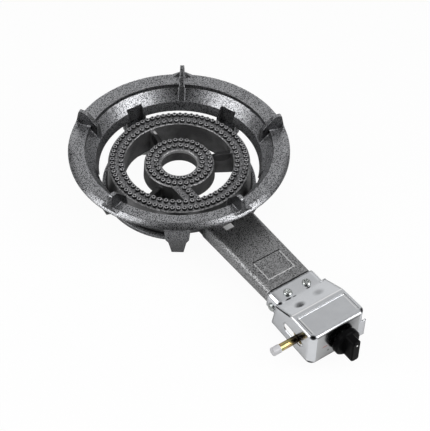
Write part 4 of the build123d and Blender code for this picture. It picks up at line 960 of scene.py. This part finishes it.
paper, tree, shader, position = new_material("floor_paper")
fill(tree, shader, {"Base Color": (0.76, 0.76, 0.76, 1), "Roughness": 0.9})
rays = tree.nodes.new("ShaderNodeLightPath").outputs
seen = calc(tree, "MAXIMUM", rays["Is Camera Ray"], rays["Is Transmission Ray"])
shade = mark(tree, position, *WINDOW_SHADE)
white = all_of(tree, seen, remap(tree, shade, 0.0, 1.0, WHITE_SHARE, SHADED_SHARE))
glow = add(tree, "ShaderNodeEmission", {"Color": (1, 1, 1, 1), "Strength": 1.0})
parts = {0: white, 1: shader.outputs[0], 2: glow.outputs[0]}
surface = add(tree, "ShaderNodeMixShader", parts).outputs[0]
fill(tree, tree.nodes["Material Output"], {"Surface": surface})

corners = FLOOR_HALF * np.array([[-1, -1, 0], [1, -1, 0], [1, 1, 0], [-1, 1, 0]])
floor_mesh = bpy.data.meshes.new("floor")
floor_mesh.from_pydata((corners * MM).tolist(), [], [[0, 1, 2, 3]])
floor_mesh.materials.append(paper)
floor = bpy.data.objects.new("floor", floor_mesh)
bpy.context.scene.collection.objects.link(floor)
print("floor of", 2 * FLOOR_HALF * MM, "m each way")

# %% [markdown]
# The camera stands where the photograph was taken. Azimuth, elevation, distance
# and roll come from a fit to the pan ring's circles, the lugs and the straight
# edges, with 1400 px of focal length on a frame whose longer side is 431 px. The
# light is set out along level axes of that view: right, away and high. The world
# is what shiny metal mirrors: a pale sweep behind, dark at both sides and in
# front. A photographed studio could stand there, but a few sums need no file.

# %% World
AZIMUTH = math.radians(-36.438)
ELEVATION = math.radians(46.499)
HIGH = np.array([0.0, 0.0, 1.0])
RIGHT = np.array([math.cos(AZIMUTH), math.sin(AZIMUTH), 0.0])
AWAY = np.cross(HIGH, RIGHT)
FILL_LIGHT = 0.15  # strength of the world for matt surfaces

world = bpy.data.worlds.new("studio")
bpy.context.scene.world = world
world.use_nodes = True
tree = world.node_tree
rays = tree.nodes.new("ShaderNodeLightPath").outputs
sky = tree.nodes.new("ShaderNodeTexCoord").outputs["Generated"]
behind = vector(tree, "DOT_PRODUCT", sky, AWAY.tolist())
height = split(tree, sky)[2]
sweep = remap(tree, height, 0.6, 0.85, 0.8, 0.5)
backdrop = remap(tree, behind, 0.05, 0.45, 0.06, sweep, interpolation_type="SMOOTHSTEP")
above_sides = calc(tree, "MULTIPLY_ADD", behind, 0.5, height)
studio = all_of(tree, backdrop, remap(tree, above_sides, 0.45, 0.68, 0.2))
shiny = calc(tree, "MAXIMUM", rays["Is Glossy Ray"], rays["Is Transmission Ray"])
on_object = mix(tree, "FLOAT", shiny, FILL_LIGHT, studio)
strength = mix(tree, "FLOAT", rays["Is Camera Ray"], on_object, 1.0)
fill(tree, tree.nodes["Background"], {"Color": (1, 1, 1, 1), "Strength": strength})
print("the pale sweep lies towards", np.round(AWAY, 3).tolist())

# %% [markdown]
# Two soft boxes at the sides draw the bright bands on the ring and the sheet. A
# third one overhead only fills the shade, so reflections don't show it.

# %% Lamps
TARGET = np.array([-5.905, -79.315, 38.5]) * MM
LAMPS = (  # name; metres right, away and high of the target; width, height; watts; mirrored
    ("overhead", (0.0, -0.25, 1.3), (1.0, 1.0), 6.5, False),
    ("left_box", (-1.20, -0.475, 0.855), (0.95, 1.3), 14.3, True),
    ("right_box", (1.155, -0.49, 0.905), (0.9, 1.3), 15.7, True),
)


def set_up(holder, right, up, back, centre):
    """Puts an object into the scene at a centre, with its axes; it looks along its -Z axis."""
    matrix = np.eye(4)
    matrix[:3] = np.stack([right, up, back, centre], axis=1)
    holder.matrix_world = Matrix(matrix.tolist())
    bpy.context.scene.collection.objects.link(holder)


for name, offset, (width, length), watts, mirrored in LAMPS:
    lamp = bpy.data.lights.new(name, "AREA")
    lamp.shape = "RECTANGLE"
    lamp.size, lamp.size_y, lamp.energy = width, length, watts
    holder = bpy.data.objects.new(name, lamp)
    holder.visible_glossy = mirrored
    from_target = np.array(offset) @ np.stack([RIGHT, AWAY, HIGH])
    lamp_back = from_target / np.linalg.norm(from_target)
    lamp_right = np.cross(HIGH, lamp_back)
    lamp_right = lamp_right / np.linalg.norm(lamp_right)
    lamp_up = np.cross(lamp_back, lamp_right)
    set_up(holder, lamp_right, lamp_up, lamp_back, TARGET + from_target)
    print(name, "gives", watts, "W from", width, "by", length, "m")

# %% Camera
ROLL = math.radians(1.564)
DISTANCE = 1559.15 * MM
SENSOR_MM = 36.0
FOCAL_PX = 1400.0
LONGER_SIDE_PX = 431.0

camera = bpy.data.objects.new("camera", bpy.data.cameras.new("camera"))
camera.data.sensor_width = SENSOR_MM
camera.data.lens = SENSOR_MM * FOCAL_PX / LONGER_SIDE_PX
camera.data.clip_end = 50.0
back = math.sin(ELEVATION) * HIGH - math.cos(ELEVATION) * AWAY
up = np.cross(back, RIGHT)
rolled_right = math.cos(ROLL) * RIGHT + math.sin(ROLL) * up
rolled_up = -math.sin(ROLL) * RIGHT + math.cos(ROLL) * up
eye = TARGET + DISTANCE * back
set_up(camera, rolled_right, rolled_up, back, eye)
bpy.context.scene.camera = camera
bpy.context.scene.view_settings.view_transform = "Standard"
print("camera lens", round(camera.data.lens, 2), "mm at", np.round(eye, 3).tolist())
